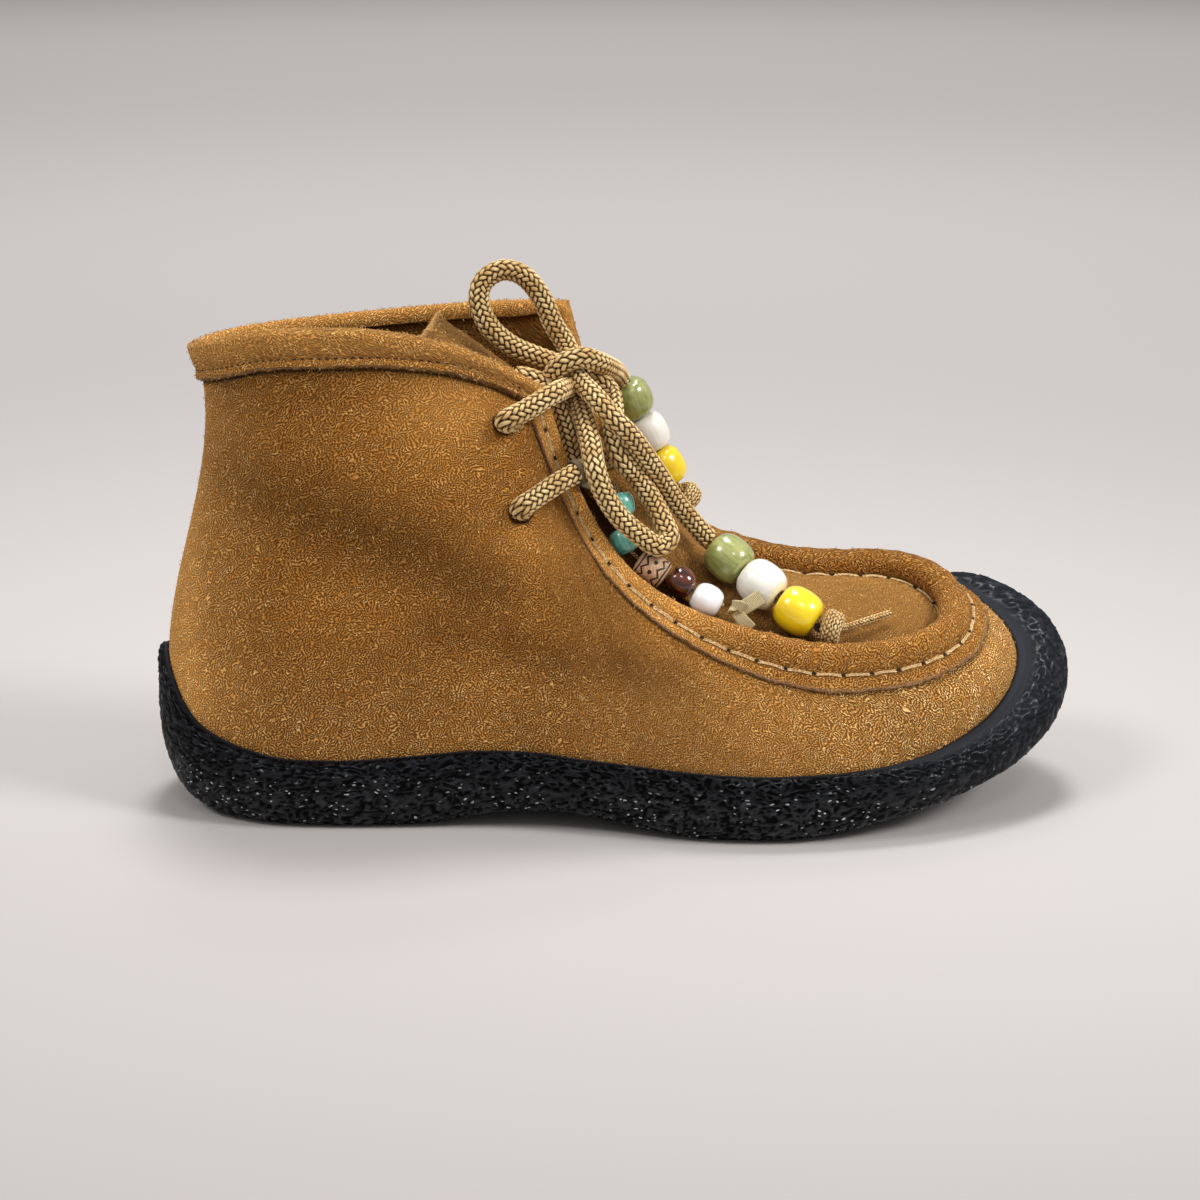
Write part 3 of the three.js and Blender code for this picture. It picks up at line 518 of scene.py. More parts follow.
# Apron and tongue
# A softer sheet of the same hide that fills the toe seam and runs on up the throat. Its edge is caught in
# the roll of the seam, and its cut end leans back into the collar.
APRON_ALONG = 4.9
APRON_OUT = -4.4
APRON_ROWS = (0.4, 1, 2, 3, 4, 5, 6)
APRON_CROWN = 1.2
APRON_STEPS = 200
APRON_ACROSS = 61
TONGUE = np.array([
    # lateral edge x, y, z, medial edge x, y, z, crown
    (26, -22, 61, 26, 19, 71, 7),
    (14, -16, 73, 15, 18, 80, 8),
    (2, -15, 88, 4, 17, 92, 8.5),
    (-10, -15, 101, -8, 17, 104, 8.5),
    (-23, -15, 114, -21, 17, 116, 7.5),
    (-37, -15, 126, -35, 17, 128, 6),
    (-49, -14, 135, -46, 15, 138, 5),
    (-58, -13, 141, -53, 12, 146, 2),
])


# Points near the top edge of the wall: along is the distance past the edge, negative down the outer face,
# and out is the distance off that face.
def near_edge(around, along, out):
    height = heights_below(around, np.maximum(0, -along))
    up = unit(wall(around, 1.0) - wall(around, 0.97))
    return off_wall(around[:, None], height, out) + np.maximum(0, along)[..., None] * up[:, None]


# A smooth curve through a few places, at shares t of its way from the first to the last.
def curve_through(places, t):
    places = np.asarray(places, float)
    spans = len(places) - 1
    ends = np.concatenate([[2 * places[0] - places[1]], places, [2 * places[-1] - places[-2]]])
    k = np.minimum((t * spans).astype(int), spans - 1)
    w = (t * spans - k)[:, None]
    a, b, c, d = (ends[k + n] for n in range(4))
    ab, bc, cd = (np.sqrt(np.linalg.norm(q - p, axis=1, keepdims=True)) for p, q in ((a, b), (b, c), (c, d)))
    leave = ((b - a) / ab - (c - a) / (ab + bc) + (c - b) / bc) * bc
    arrive = ((c - b) / bc - (d - b) / (bc + cd) + (d - c) / cd) * bc
    rise = w * w * (3 - 2 * w)
    return mix(b, c, rise) + w * (1 - w) * ((1 - w) * leave - w * arrive)


rows = np.array(APRON_ROWS)
edges = []
for side, first in ((-1, 0), (1, 3)):
    along, out = (np.full((len(rows), 1), distance) for distance in (APRON_ALONG, APRON_OUT))
    seam = near_edge(TOE_ROW + side * rows, along, out)
    edges.append(np.concatenate([seam[:, 0], TONGUE[:, first:first + 3]]))
crowns = np.concatenate([APRON_CROWN * rows, TONGUE[:, 6]])
t = np.linspace(0, 1, APRON_STEPS)
lateral, medial = (curve_through(edge, t) for edge in edges)
crown = np.interp(t * (len(crowns) - 1), np.arange(len(crowns)), crowns)
forward = np.gradient(lateral, axis=0) + np.gradient(medial, axis=0)
up = unit(np.cross(forward, medial - lateral))
up *= np.where(up[:, 2:] < 0, -1, 1)
share = np.linspace(0, 1, APRON_ACROSS)
face = mix(lateral[:, None], medial[:, None], share[:, None])
face = face + up[:, None] * (4 * crown[:, None] * share * (1 - share))[..., None]
under = face - up[:, None] * SUEDE
sheet = np.concatenate([face, under[:, ::-1]], 1)
apron_suede = suede(
    "apron_suede", rgb(126, 84, 36), rgb(170, 119, 57), rgb(194, 145, 80), rgb(230, 188, 124),
    rgb(170, 122, 70), rgb(226, 184, 124))
along, across = t[:, None], np.concatenate([share, share[::-1]])
free_end = smooth_step(0.84, 0.9, along)
last_columns = np.isin(np.arange(len(across)), (0, APRON_ACROSS - 1, APRON_ACROSS, len(across) - 1))
cut_sides = last_columns * free_end
# Painted shade beside the lateral roll near the toe and at the tongue's free end in the collar; painted light
# on the medial half near the toe.
beside_roll = smooth_step(0.3, 0, across) * smooth_step(0.5, 0.4, along)
apron = grid_piece(
    "apron_tongue_suede", sheet, apron_suede, wraps_across=True, caps=True,
    fields={"coarse": 0, "raw": np.maximum(cut_sides, smooth_step(0.992, 0.998, along)),
            "nap": 0.1 + 3 * np.maximum(cut_sides, smooth_step(0.97, 1, along)),
            "painted_light": 0.3 * smooth_step(0.45, 0.9, across) * (along < 0.5),
            "sunk_and_painted_shade": 6 * beside_roll + 2.6 * free_end})
stands_for(apron, "suede", "apron_tongue")

# Moc band
# A strip of suede folded over the throat's edge. Round the toe it swells into the roll that hides the joint
# of wall and apron. A row of long double stitches gathers it a little, and its lower edge is left raw.
BAND_STITCH = 8.5
BAND_STITCH_AT = 0.45  # share of the skirt
OVERLAP = 0.01
BAND = np.array([
    # skirt, along, out where it lies flat, then skirt, along, out where it is rolled
    (1, 0, 1.1, 1, 0, 1.1),
    (0.6, 0, 1.6, 0.58, 0, 1.4),
    (0.2, 0, 1.9, 0.22, 0, 3.2),
    (0, 0.9, 1.7, 0, 0.6, 4.8),
    (0, 1.8, 0.2, 0, 3.4, 4.7),
    (0, 1.8, -2.2, 0, 6, 2.7),
    (0, 0.8, -3.7, 0, 6.7, 0),
    (0, -2, -3.9, 0, 5.7, -2.4),
    (0, -4.5, -3.7, 0, 4.4, -3.9),
])
BAND_BACK = np.array([
    (1, 0, GAP, 1, 0, GAP),
    (0.6, 0, GAP, 0.58, 0, GAP),
    (0.2, 0, GAP, 0.22, 0, GAP),
    (0, GAP, GAP, 0, GAP, GAP),
    (0, GAP, -0.5, 0, GAP, -0.5),
    (0, GAP, -SUEDE - GAP, 0, GAP, -1.4),
    (0, -0.6, -SUEDE - GAP, 0, 0.6, -2.4),
    (0, -2, -SUEDE - GAP, 0, 2, -3.4),
    (0, -4.5, -SUEDE - GAP, 0, 3.6, -4.6),
])
FRONT_ROWS = 49
BAND_STEPS = 560
SEAM_OUT = 1.35  # a seam's thread off the wall
HOLE_REACH = 1.7  # how far round its holes the thread pulls the strip in
GROOVE = 1.2  # half width of the groove along the seam
TORN = 0.35  # how ragged the raw edge is


def lengths_along(line):
    return np.concatenate([[0], np.cumsum(np.linalg.norm(np.diff(line, axis=0), axis=1))])


def evenly(line, values, places):
    run = lengths_along(line)
    return np.stack([np.interp(places, run, values[:, k]) for k in range(3)], -1)


# A ragged cut: a small uneven shift for each place along an edge.
def ragged(run, reach, seed):
    fine, broad = (np.array([noise.noise((r / size, seed, level)) for r in run])
                   for size, level in ((1.6, 0.5), (6, 2.5)))
    return reach * fine + reach * broad


band_around = np.linspace(CORNERS[0] - OVERLAP, CORNERS[1] + OVERLAP, BAND_STEPS)
roll = rolled(band_around)[:, None]
skirt = covered(np.clip(band_around, CORNERS[0] + OVERLAP, CORNERS[1] - OVERLAP))[:, None]
band_line = near_edge(band_around, -BAND_STITCH_AT * skirt, np.full_like(skirt, SEAM_OUT))[:, 0]
run = lengths_along(band_line)
band_pitch = run[-1] / round(run[-1] / BAND_STITCH)
from_hole = np.abs((run + band_pitch / 2) % band_pitch - band_pitch / 2)[:, None]
tight = np.exp(-((from_hole / HOLE_REACH) ** 2))
rows = curve_through(BAND, np.linspace(0, 1, FRONT_ROWS))
along = mix(rows[:, 1], rows[:, 4], roll) - mix(rows[:, 0], rows[:, 3], roll) * skirt
out = mix(rows[:, 2], rows[:, 5], roll)
from_stitch = along + BAND_STITCH_AT * skirt
on_front = smooth_step(-1, 1, out)
out = out - on_front * np.exp(-((from_stitch / GROOVE) ** 2)) * (0.45 + 0.6 * tight)
gather = np.cos(2 * math.pi * run / band_pitch)[:, None] * smooth_step(0.5, 4, from_stitch) * on_front
out = out - gather * mix(0.1, 0.22, roll) * (1 + ragged(run / 6, 1.2, 5))[:, None]
along[:, :1] += ragged(run, TORN, 3)[:, None]
back_along = mix(BAND_BACK[:, 1], BAND_BACK[:, 4], roll)
back_along -= mix(BAND_BACK[:, 0], BAND_BACK[:, 3], roll) * skirt
back_along[:, :1] = along[:, :1] - 0.35
front = near_edge(band_around, along, out)
back = near_edge(band_around, back_along, mix(BAND_BACK[:, 2], BAND_BACK[:, 5], roll))
band_grid = np.concatenate([front, back[:, ::-1]], 1)
raw_edge = np.zeros(band_grid.shape[1])
raw_edge[[0, 1, -1]] = (1, 0.25, 1)
band_nap = np.concatenate([np.full(FRONT_ROWS, 0.4), np.zeros(len(BAND_BACK))])
# Painted light: the band is painted brighter towards the throat, where the laces shade it.
band = grid_piece(
    "moc_band_suede", band_grid, tan_suede, wraps_across=True, caps=True,
    fields={"coarse": 0.1, "raw": raw_edge, "nap": band_nap, "sunk_and_painted_shade": 0,
            "painted_light": 0.1 + 1.8 * smooth_step(50, 0, band_grid[..., 0])})
stands_for(band, "suede", "moc_band")

# Collar cuff
# A second strip, folded over the collar's edge and machine sewn close above its raw lower edge, which stands
# a little away from the wall.
CUFF_STITCH = 2.4
CUFF_STITCH_UP = 2.3  # from the raw edge
CUFF_STEPS = 420
CUFF_GROOVE = 0.8
CUFF_TORN = 0.4
CUFF = np.array([
    # share of the depth, along, out on its front, then the same on its back
    (1, 0, 1.9, 1, 0, 0.7),
    (0.7, 0, 1.7, 0.7, 0, GAP),
    (0.3, 0, 2.1, 0.3, 0, GAP),
    (0, -0.3, 2.2, 0, GAP, GAP),
    (0, 1.5, 1.2, 0, GAP, -0.8),
    (0, 2, -0.9, 0, GAP, -SUEDE - GAP),
    (0, 1.4, -2.8, 0, -0.6, -SUEDE - GAP),
    (0, -0.6, -3.8, 0, -1.4, -SUEDE - GAP),
    (0, -2.6, -3.5, 0, -2.6, -SUEDE - GAP),
])
cuff_around = np.linspace(CORNERS[1] - OVERLAP, CORNERS[0] + ROWS + OVERLAP, CUFF_STEPS)
depth = covered(np.clip(cuff_around, CORNERS[1] + OVERLAP, CORNERS[0] + ROWS - OVERLAP) % ROWS)[:, None]
stitch_along = np.minimum(CUFF_STITCH_UP, 0.5 * depth) - depth
cuff_line = near_edge(cuff_around, stitch_along, np.full_like(depth, SEAM_OUT))[:, 0]
run = lengths_along(cuff_line)
rows = curve_through(CUFF[:, :3], np.linspace(0, 1, FRONT_ROWS))
along = rows[:, 1] - rows[:, 0] * depth
groove = np.exp(-(((along - stitch_along) / CUFF_GROOVE) ** 2))
out = rows[:, 2] - 0.35 * groove * smooth_step(-1, 1, rows[:, 2])
along[:, :1] += ragged(run, CUFF_TORN, 7)[:, None]
back_along = CUFF[:, 4] - CUFF[:, 3] * depth
back_along[:, :1] = along[:, :1] - 0.7
front = near_edge(cuff_around, along, out)
back = near_edge(cuff_around, back_along, np.broadcast_to(CUFF[:, 5], back_along.shape))
cuff_grid = np.concatenate([front, back[:, ::-1]], 1)
raw_edge = np.zeros(cuff_grid.shape[1])
raw_edge[[0, FRONT_ROWS - 1, FRONT_ROWS, -1]] = (0.7, 1, 1, 1)
fold = np.exp(-(((np.arange(FRONT_ROWS) / FRONT_ROWS - 0.5) / 0.1) ** 2))
cuff_nap = np.concatenate([0.3 + 2.2 * fold, np.zeros(len(CUFF))])
cuff_nap[[0, 1, -1]] = (1.2, 0.8, 1.2)
# Painted light: the cuff is painted brighter, and brighter still from above its raw edge up over the fold.
cuff_painted_light = 0.8 + 0.6 * smooth_step(5, 15, np.arange(cuff_grid.shape[1]))
cuff = grid_piece(
    "collar_cuff_suede", cuff_grid, tan_suede, wraps_across=True, caps=True,
    fields={"coarse": 0.25, "raw": raw_edge, "nap": cuff_nap, "painted_light": cuff_painted_light, "sunk_and_painted_shade": 0})
stands_for(cuff, "suede", "collar_cuff")

# Seams
# The band is sewn by hand with two waxed tan threads side by side, each stitch diving into a needle hole at
# both ends, where a small dark arc sunk into the hide is painted shade. The cuff has one row of small dark
# machine stitches pulled into the hide.


def node_tree(name, inputs):
    tree = bpy.data.node_groups.new(name, "GeometryNodeTree")
    tree.interface.new_socket("Geometry", in_out="INPUT", socket_type="NodeSocketGeometry")
    for label, kind in inputs.items():
        tree.interface.new_socket(label, in_out="INPUT", socket_type="NodeSocket" + kind)
    tree.interface.new_socket("Geometry", in_out="OUTPUT", socket_type="NodeSocketGeometry")
    entry = tree.nodes.new("NodeGroupInput")
    return tree, {socket.name: Wire(tree, socket) for socket in entry.outputs if socket.name}


def close_tree(instances, material):
    real = instances.node("GeometryNodeRealizeInstances", {}, {0: instances})
    real = real.node("GeometryNodeSetMaterial", {}, {"Geometry": real, "Material": material})
    real.node("NodeGroupOutput", {}, {0: real})


# A plain mesh of what a tree makes on a carrier, which keeps no modifier.
def grown(name, carrier, tree, values):
    modifier = carrier.modifiers.new(tree.name, "NODES")
    modifier.node_group = tree
    for socket in tree.interface.items_tree:
        if socket.in_out == "INPUT" and socket.name in values:
            modifier[socket.identifier] = values[socket.name]
    mesh = bpy.data.meshes.new_from_object(carrier.evaluated_get(bpy.context.evaluated_depsgraph_get()))
    carrier.modifiers.remove(modifier)
    return placed(name, mesh)


def stitch_tree():
    tree, given = node_tree("stitch_row", {
        "Length": "Float", "Lift": "Float", "Thickness": "Float", "Seed": "Int", "Material": "Material"})
    wire = given["Geometry"]
    half, lift = given["Length"] * 0.5, given["Lift"]
    start = wire.node("ShaderNodeCombineXYZ", {}, {"X": half * -1.0, "Z": lift * -1.0})
    middle = wire.node("ShaderNodeCombineXYZ", {}, {"Z": lift * 2.0})
    end = wire.node("ShaderNodeCombineXYZ", {}, {"X": half, "Z": lift * -1.0})
    arc = wire.node("GeometryNodeCurveQuadraticBezier", {},
                    {"Resolution": 8, "Start": start, "Middle": middle, "End": end})
    round_thread = wire.node("GeometryNodeCurvePrimitiveCircle", {},
                             {"Resolution": 8, "Radius": given["Thickness"] * 0.5})
    stitch = wire.node("GeometryNodeCurveToMesh", {},
                       {"Curve": arc, "Profile Curve": round_thread, "Fill Caps": True})
    ahead, out = (wire.node("GeometryNodeInputNamedAttribute", {"data_type": "FLOAT_VECTOR"}, {"Name": label})
                  for label in ("ahead", "outward"))
    facing = wire.node("FunctionNodeAxesToRotation", {"primary_axis": "X", "secondary_axis": "Z"},
                       {"Primary Axis": ahead, "Secondary Axis": out})
    uneven = wire.node("FunctionNodeRandomValue", {"data_type": "FLOAT_VECTOR"},
                       {0: (0.88, 0.9, 0.7), 1: (1.06, 1.1, 1.25), "Seed": given["Seed"]})
    close_tree(wire.node("GeometryNodeInstanceOnPoints", {}, {
        "Points": wire, "Instance": stitch, "Rotation": facing, "Scale": uneven}), given["Material"])
    return tree


# A row of stitches at places along a line, each facing out and lying a little aside of the line.
def sewn(name, line, out, places, values, aside=0):
    at, ahead, out = (evenly(line, rows, places) for rows in (line, np.gradient(line, axis=0), out))
    ahead, out = unit(ahead), unit(out)
    mesh = bpy.data.meshes.new(name + "_places")
    mesh.from_pydata(((at + np.cross(out, ahead) * aside) * MM).tolist(), [], [])
    for label, vectors in (("ahead", ahead), ("outward", out)):
        mesh.attributes.new(label, "FLOAT_VECTOR", "POINT").data.foreach_set("vector", vectors.ravel())
    carrier = placed(name + "_places", mesh)
    made = grown(name, carrier, stitches, values)
    bpy.data.objects.remove(carrier)
    stands_for(made, "string")


# A point's place in the boot's own frame, in metres.
def object_place(wire):
    return wire.node("ShaderNodeTexCoord", out=3)


def thread(name, dark, pale, gloss):
    material, wire = material_of(name)
    ply = clouds(wire, object_place(wire), 1800.0, 2.0)
    shade(wire, ply, 0.1 * MM, {
        "Base Color": blend(between(ply, 0.3, 0.7), dark, pale), "Roughness": gloss + ply * 0.2})
    return material


waxed = thread("waxed_thread", rgb(158, 118, 66), rgb(232, 200, 146), 0.5)
needle_hole_shade = thread("needle_hole_shade", rgb(20, 10, 4), rgb(44, 26, 12), 0.8)
dark_thread = thread("dark_thread", rgb(38, 22, 8), rgb(74, 48, 20), 0.7)
stitches = stitch_tree()
BAND_THREAD = {"Length": 7.6 * MM, "Lift": 0.3 * MM, "Thickness": 0.5 * MM, "Material": waxed}
# Painted shade: a short dark arc sunk into each needle hole.
NEEDLE_HOLE_SHADE = {"Length": 0.7 * MM, "Lift": -0.3 * MM, "Thickness": 0.6 * MM, "Material": needle_hole_shade}
CUFF_THREAD = {"Length": 1.15 * MM, "Lift": 0.12 * MM, "Thickness": 0.42 * MM, "Material": dark_thread}
THREAD_ASIDE = 0.26
THREAD_LIFT = 0.3

# The line on the apron's grid that the roll stands on: down its medial side, round the toe and up its
# lateral side.
ROLL_TOP, ROLL_TOE = 86, 3
ROLL_MEDIAL, ROLL_LATERAL = 59, 1
down, back_up = np.arange(ROLL_TOP, ROLL_TOE, -1), np.arange(ROLL_TOE, ROLL_TOP)
round_toe = np.arange(ROLL_MEDIAL, ROLL_LATERAL, -1)
steps = np.concatenate([down, np.full_like(round_toe, ROLL_TOE), back_up])
columns = np.concatenate([np.full_like(down, ROLL_MEDIAL), round_toe, np.full_like(back_up, ROLL_LATERAL)])
base_up = up[steps]
rows_sewn = {
    "band": (band_line, wall_normal(band_around, np.ones_like(band_around))),
    "roll": (face[steps, columns] + THREAD_LIFT * base_up, base_up),
}
for name, (line, out) in rows_sewn.items():
    length = lengths_along(line)[-1]
    pitch = length / round(length / BAND_STITCH)
    middles = np.arange(0.5, length / pitch) * pitch
    holes = np.arange(1, round(length / pitch)) * pitch
    for k, aside in enumerate((-THREAD_ASIDE, THREAD_ASIDE)):
        sewn(f"{name}_stitches_{k}", line, out, middles, {**BAND_THREAD, "Seed": 4 + k}, aside)
    sewn(f"{name}_holes", line, out, holes, {**NEEDLE_HOLE_SHADE, "Seed": 9})
out = wall_normal(cuff_around, np.ones_like(cuff_around))
middles = np.arange(0.5, lengths_along(cuff_line)[-1] / CUFF_STITCH) * CUFF_STITCH
sewn("cuff_stitches", cuff_line, out, middles, {**CUFF_THREAD, "Seed": 2})

# Nap
# Loose fibres that stand off the suede, thickest where the hide is folded or worn: on the collar's top, on
# the toe and on the cut end of the tongue.


def nap_tree():
    tree, given = node_tree("nap", {
        "Density": "Float", "Length": "Float", "Thickness": "Float", "Seed": "Int", "Material": "Material"})
    wire = given["Geometry"]
    amount = wire.node("GeometryNodeInputNamedAttribute", {"data_type": "FLOAT"}, {"Name": "nap"})
    spots = wire.node("GeometryNodeDistributePointsOnFaces", {}, {
        "Mesh": wire, "Density": given["Density"] * amount, "Seed": given["Seed"]})
    facing = Wire(tree, spots.socket.node.outputs["Rotation"])
    spin = wire.node("FunctionNodeRandomValue", {"data_type": "FLOAT_VECTOR"},
                     {0: (-0.5, -0.5, -3.1), 1: (0.5, 0.5, 3.1), "Seed": given["Seed"]})
    spin = wire.node("FunctionNodeEulerToRotation", {}, {0: spin})
    facing = wire.node("FunctionNodeRotateRotation", {"rotation_space": "LOCAL"},
                       {"Rotation": facing, "Rotate By": spin})
    length = given["Length"]
    bend = wire.node("ShaderNodeCombineXYZ", {}, {"X": length * 0.25, "Z": length * 0.55})
    tip = wire.node("ShaderNodeCombineXYZ", {}, {"X": length * 0.8, "Y": length * 0.25, "Z": length * 0.4})
    arc = wire.node("GeometryNodeCurveQuadraticBezier", {},
                    {"Resolution": 3, "Start": (0, 0, 0), "Middle": bend, "End": tip})
    breadth = wire.node("ShaderNodeCombineXYZ", {}, {"X": given["Thickness"]})
    flat = wire.node("GeometryNodeCurvePrimitiveLine", {}, {"Start": (0, 0, 0), "End": breadth})
    fibre = wire.node("GeometryNodeCurveToMesh", {}, {"Curve": arc, "Profile Curve": flat})
    size = wire.node("FunctionNodeRandomValue", {"data_type": "FLOAT_VECTOR"},
                     {0: (0.5, 0.5, 0.4), 1: (1.3, 1.3, 1.2), "Seed": given["Seed"] + 1.0})
    close_tree(wire.node("GeometryNodeInstanceOnPoints", {}, {
        "Points": spots, "Instance": fibre, "Rotation": facing, "Scale": size}), given["Material"])
    return tree


fibres = thread("nap_fibre", rgb(176, 124, 58), rgb(226, 180, 108), 0.9)
nap = nap_tree()
LOOSE_FIBRE = {"Length": 0.9 * MM, "Thickness": 0.2 * MM, "Seed": 11, "Material": fibres}
FIBRES_PER_MM2 = ((upper, 0.32), (apron, 0.5), (band, 0.5), (cuff, 0.8))
for hide, density in FIBRES_PER_MM2:
    loose = grown(hide.name + "_nap", hide, nap, {**LOOSE_FIBRE, "Density": density / MM ** 2})
    stands_for(loose, "suede")

# Insole
# A flat bed of tan lining leather, cut to the inside of the wall's foot with its upper edge rounded off, and
# laid on the rubber's floor.
INSOLE = 4
INSOLE_EDGE = 0.8
INSOLE_STEPS = 210
insole_around = np.linspace(0, ROWS, INSOLE_STEPS, endpoint=False)


def insole_ring(lift, inset):
    z = floor_height(foot_point(insole_around)[:, 0]) + GAP + lift
    ring = off_wall(insole_around, height_at(insole_around, z), -SUEDE - 4 * GAP - inset)
    ring[:, 2] = z
    return ring


# Rings drawn in towards the line midway between the two sides of the boot.
def drawn_in(ring, shares, level):
    middle = (ring + np.concatenate([ring[:1], ring[:0:-1]])) / 2
    rings = [mix(ring, middle, share) for share in shares]
    for points in rings:
        points[:, 2] = level(points[:, 0])
    return rings


def lining():
    material, wire = material_of("lining_leather")
    place = object_place(wire)
    pores = {"Vector": place, "Scale": 900.0}
    grain = wire.node("ShaderNodeTexVoronoi", {"feature": "DISTANCE_TO_EDGE"}, pores)
    wear_and_painted_light = clouds(wire, place, 30.0, 4.0)
    shade(wire, between(grain, 0.0, 0.25), 0.12 * MM, {
        "Base Color": blend(between(wear_and_painted_light, 0.35, 0.65), rgb(120, 84, 44), rgb(150, 110, 64)),
        "Roughness": 0.7 + wear_and_painted_light * 0.2})
    return material


lowest = insole_ring(0, 0)
topmost = insole_ring(INSOLE, INSOLE_EDGE)
rings = drawn_in(lowest, (1, 0.5), lambda x: floor_height(x) + GAP)
rings += [lowest, insole_ring(INSOLE - 1, 0)]
rings += drawn_in(topmost, (0, 0.1, 0.3, 0.6, 1), lambda x: floor_height(x) + GAP + INSOLE)
insole = grid_piece("insole_bed", np.stack(rings, 1), lining(), wraps_along=True)
stands_for(insole, "lining", "insole")

# Sole
# One moulding of black crumb-grained rubber: a cup whose edge wraps up over the heel and, highest, over the
# toe. The rim against the suede is smooth, and the rest is worked like crepe, down to the ground.
ARCH_LIFT = 5
ARCH_BACK, ARCH_FRONT = (-66, -24), (26, -18)
HEEL_ROUND_START = -112
HEEL_ROUND = 0.01
LIP = 2.2
SOLE_STEPS = 1040
OVER_ROWS = 48
UNDER_ROWS = 28
NODULE = 1.15
NODULE_DEPTH = 0.6
BEND = 0.9  # how far the folds wander
BEND_SIZE = 6
BEND_SHIFTS = (0, 13.7, 31.3)  # places in the noise, one for each axis
CRUMB_STARTS, CRUMB_FULL = (-1.9, 1), (-0.6, 5)  # past the lip, at the sides and at the toe
TOE_LIP = (66, 108)
TREAD_CLEAR = (1.2, 0.2)  # above the ground, where the crumb is pressed flat


def ground_height(x):
    arch = ARCH_LIFT * smooth_step(*ARCH_BACK, x) * smooth_step(*ARCH_FRONT, x)
    return arch + toe_spring(x) + HEEL_ROUND * np.maximum(0, HEEL_ROUND_START - x) ** 2


def sole_grid(around):
    out, foot, lip = outward(around), foot_point(around), wall_value("lip", around)
    lip_height = height_at(around, lip)
    inner = off_wall(around[:, None], lip_height[:, None] * np.array((0, 0.34, 0.67, 1)), GAP)
    inner[:, 0, 2] = floor_height(foot[:, 0])
    edge_out = np.sum((inner[:, -1] - foot) * out, -1) + LIP
    spread, tread_out = wall_value("spread", around), wall_value("tread", around)

    def side(distance, z):
        points = foot + out * distance[:, None]
        points[:, 2] = z
        return points[:, None]

    bottom = ground_height((foot + out * tread_out[:, None])[:, 0])
    brow = mix(bottom, lip, wall_value("brow", around))
    over = bezier(
        side(edge_out, lip - 0.3),
        side(mix(edge_out, spread, 0.7), lip + 0.35 * np.maximum(0, spread - edge_out - 2)),
        side(spread, mix(brow, lip, 0.7)), side(spread, brow), np.linspace(0, 1, OVER_ROWS)[:, None])
    under = bezier(
        side(spread, brow), side(spread, mix(bottom, brow, 0.4)), side(mix(tread_out, spread, 0.55), bottom),
        side(tread_out, bottom), np.linspace(0, 1, UNDER_ROWS)[1:, None])
    floor = np.stack(drawn_in(inner[:, 0], (1, 0.5), floor_height), 1)
    rim = mix(inner[:, -1:], over[:, :1], np.array((0.35, 0.7))[:, None])
    rim[..., 2] += 0.25
    tread = np.stack(drawn_in(under[:, -1], np.linspace(0, 1, 9)[1:], ground_height), 1)
    grid = np.concatenate([floor, inner, rim, over, under, tread], 1)
    return grid, floor.shape[1] + inner.shape[1] + rim.shape[1]


# How far the crumb stands out at a place: short rounded folds of uneven height, drawn out along the ground.
def crumb(x, y, z):
    at = Vector((x, y, z)) / BEND_SIZE
    bend = BEND * Vector([noise.noise(at + Vector((shift, 0, 0))) for shift in BEND_SHIFTS])
    place = Vector((x / (2 * NODULE), y / (2 * NODULE), z / NODULE)) + bend
    fold = 1 - (noise.noise(place) / 0.3) ** 2
    swell = noise.noise(0.6 * place + Vector((7, 3, 5)))
    return max(0, fold) * (0.85 + 0.6 * swell)


# A pattern is longer along a direction where its place is multiplied by less than 1.
def stretched(wire, place, by):
    return wire.node("ShaderNodeVectorMath", {"operation": "MULTIPLY"}, {0: place, 1: by})


# Black rubber: painted shade in the hollows between its lumps, a painted highlight greying their crowns,
# greyer on the rim and towards the toe, and fine bright specks low down that are painted glints.
def rubber():
    material, wire = material_of("crumb_rubber")
    work, lump = field(wire, "crumb"), field(wire, "lump")
    place = object_place(wire)
    fine = clouds(wire, place, 1500.0, 3.0)
    drawn = stretched(wire, stirred(wire, place, 260.0, (3 * MM, 3 * MM, 3 * MM)), (0.45, 0.45, 1))
    specks = wire.node("ShaderNodeTexVoronoi", {}, {"Vector": drawn, "Scale": 720.0})
    strewn = between(clouds(wire, place, 90.0, 2.0), 0.38, 0.54)
    x, z = (wire.node("ShaderNodeSeparateXYZ", {}, {0: place}, out=k) for k in (0, 2))
    low = between(z, 24 * MM, 8 * MM)
    # Painted glints: fine bright specks mixed into the base colour low on the sides.
    glint = (1 - between(specks, 0.12, 0.2)) * strewn * low * work
    # Painted shade: the hollows between the lumps are darker than their tops.
    black = blend(between(lump, 0.0, 0.9), rgb(2, 2, 3), rgb(16, 18, 23))
    # Painted highlight: the lumps' crowns are greyer in patches.
    wear_and_painted_light = between(lump, 0.6, 1.1) * between(clouds(wire, drawn, 400.0, 2.0), 0.46, 0.64) * work
    black = blend(wear_and_painted_light, black, rgb(36, 39, 45))
    black = blend(between(x, 60 * MM, 125 * MM) * 0.2, black, rgb(56, 59, 64))
    black = blend(1 - work, black, rgb(46, 48, 53))
    shade(wire, fine * (0.1 + work * 0.3), 0.3 * MM, {
        "Base Color": blend(glint * 0.9, black, rgb(200, 204, 208)),
        "Roughness": 0.62 - work * 0.1 + fine * 0.1, "Specular IOR Level": 0.05,
        "Coat Weight": lump * work * (0.3 + low * 0.45), "Coat Roughness": 0.25})
    return material


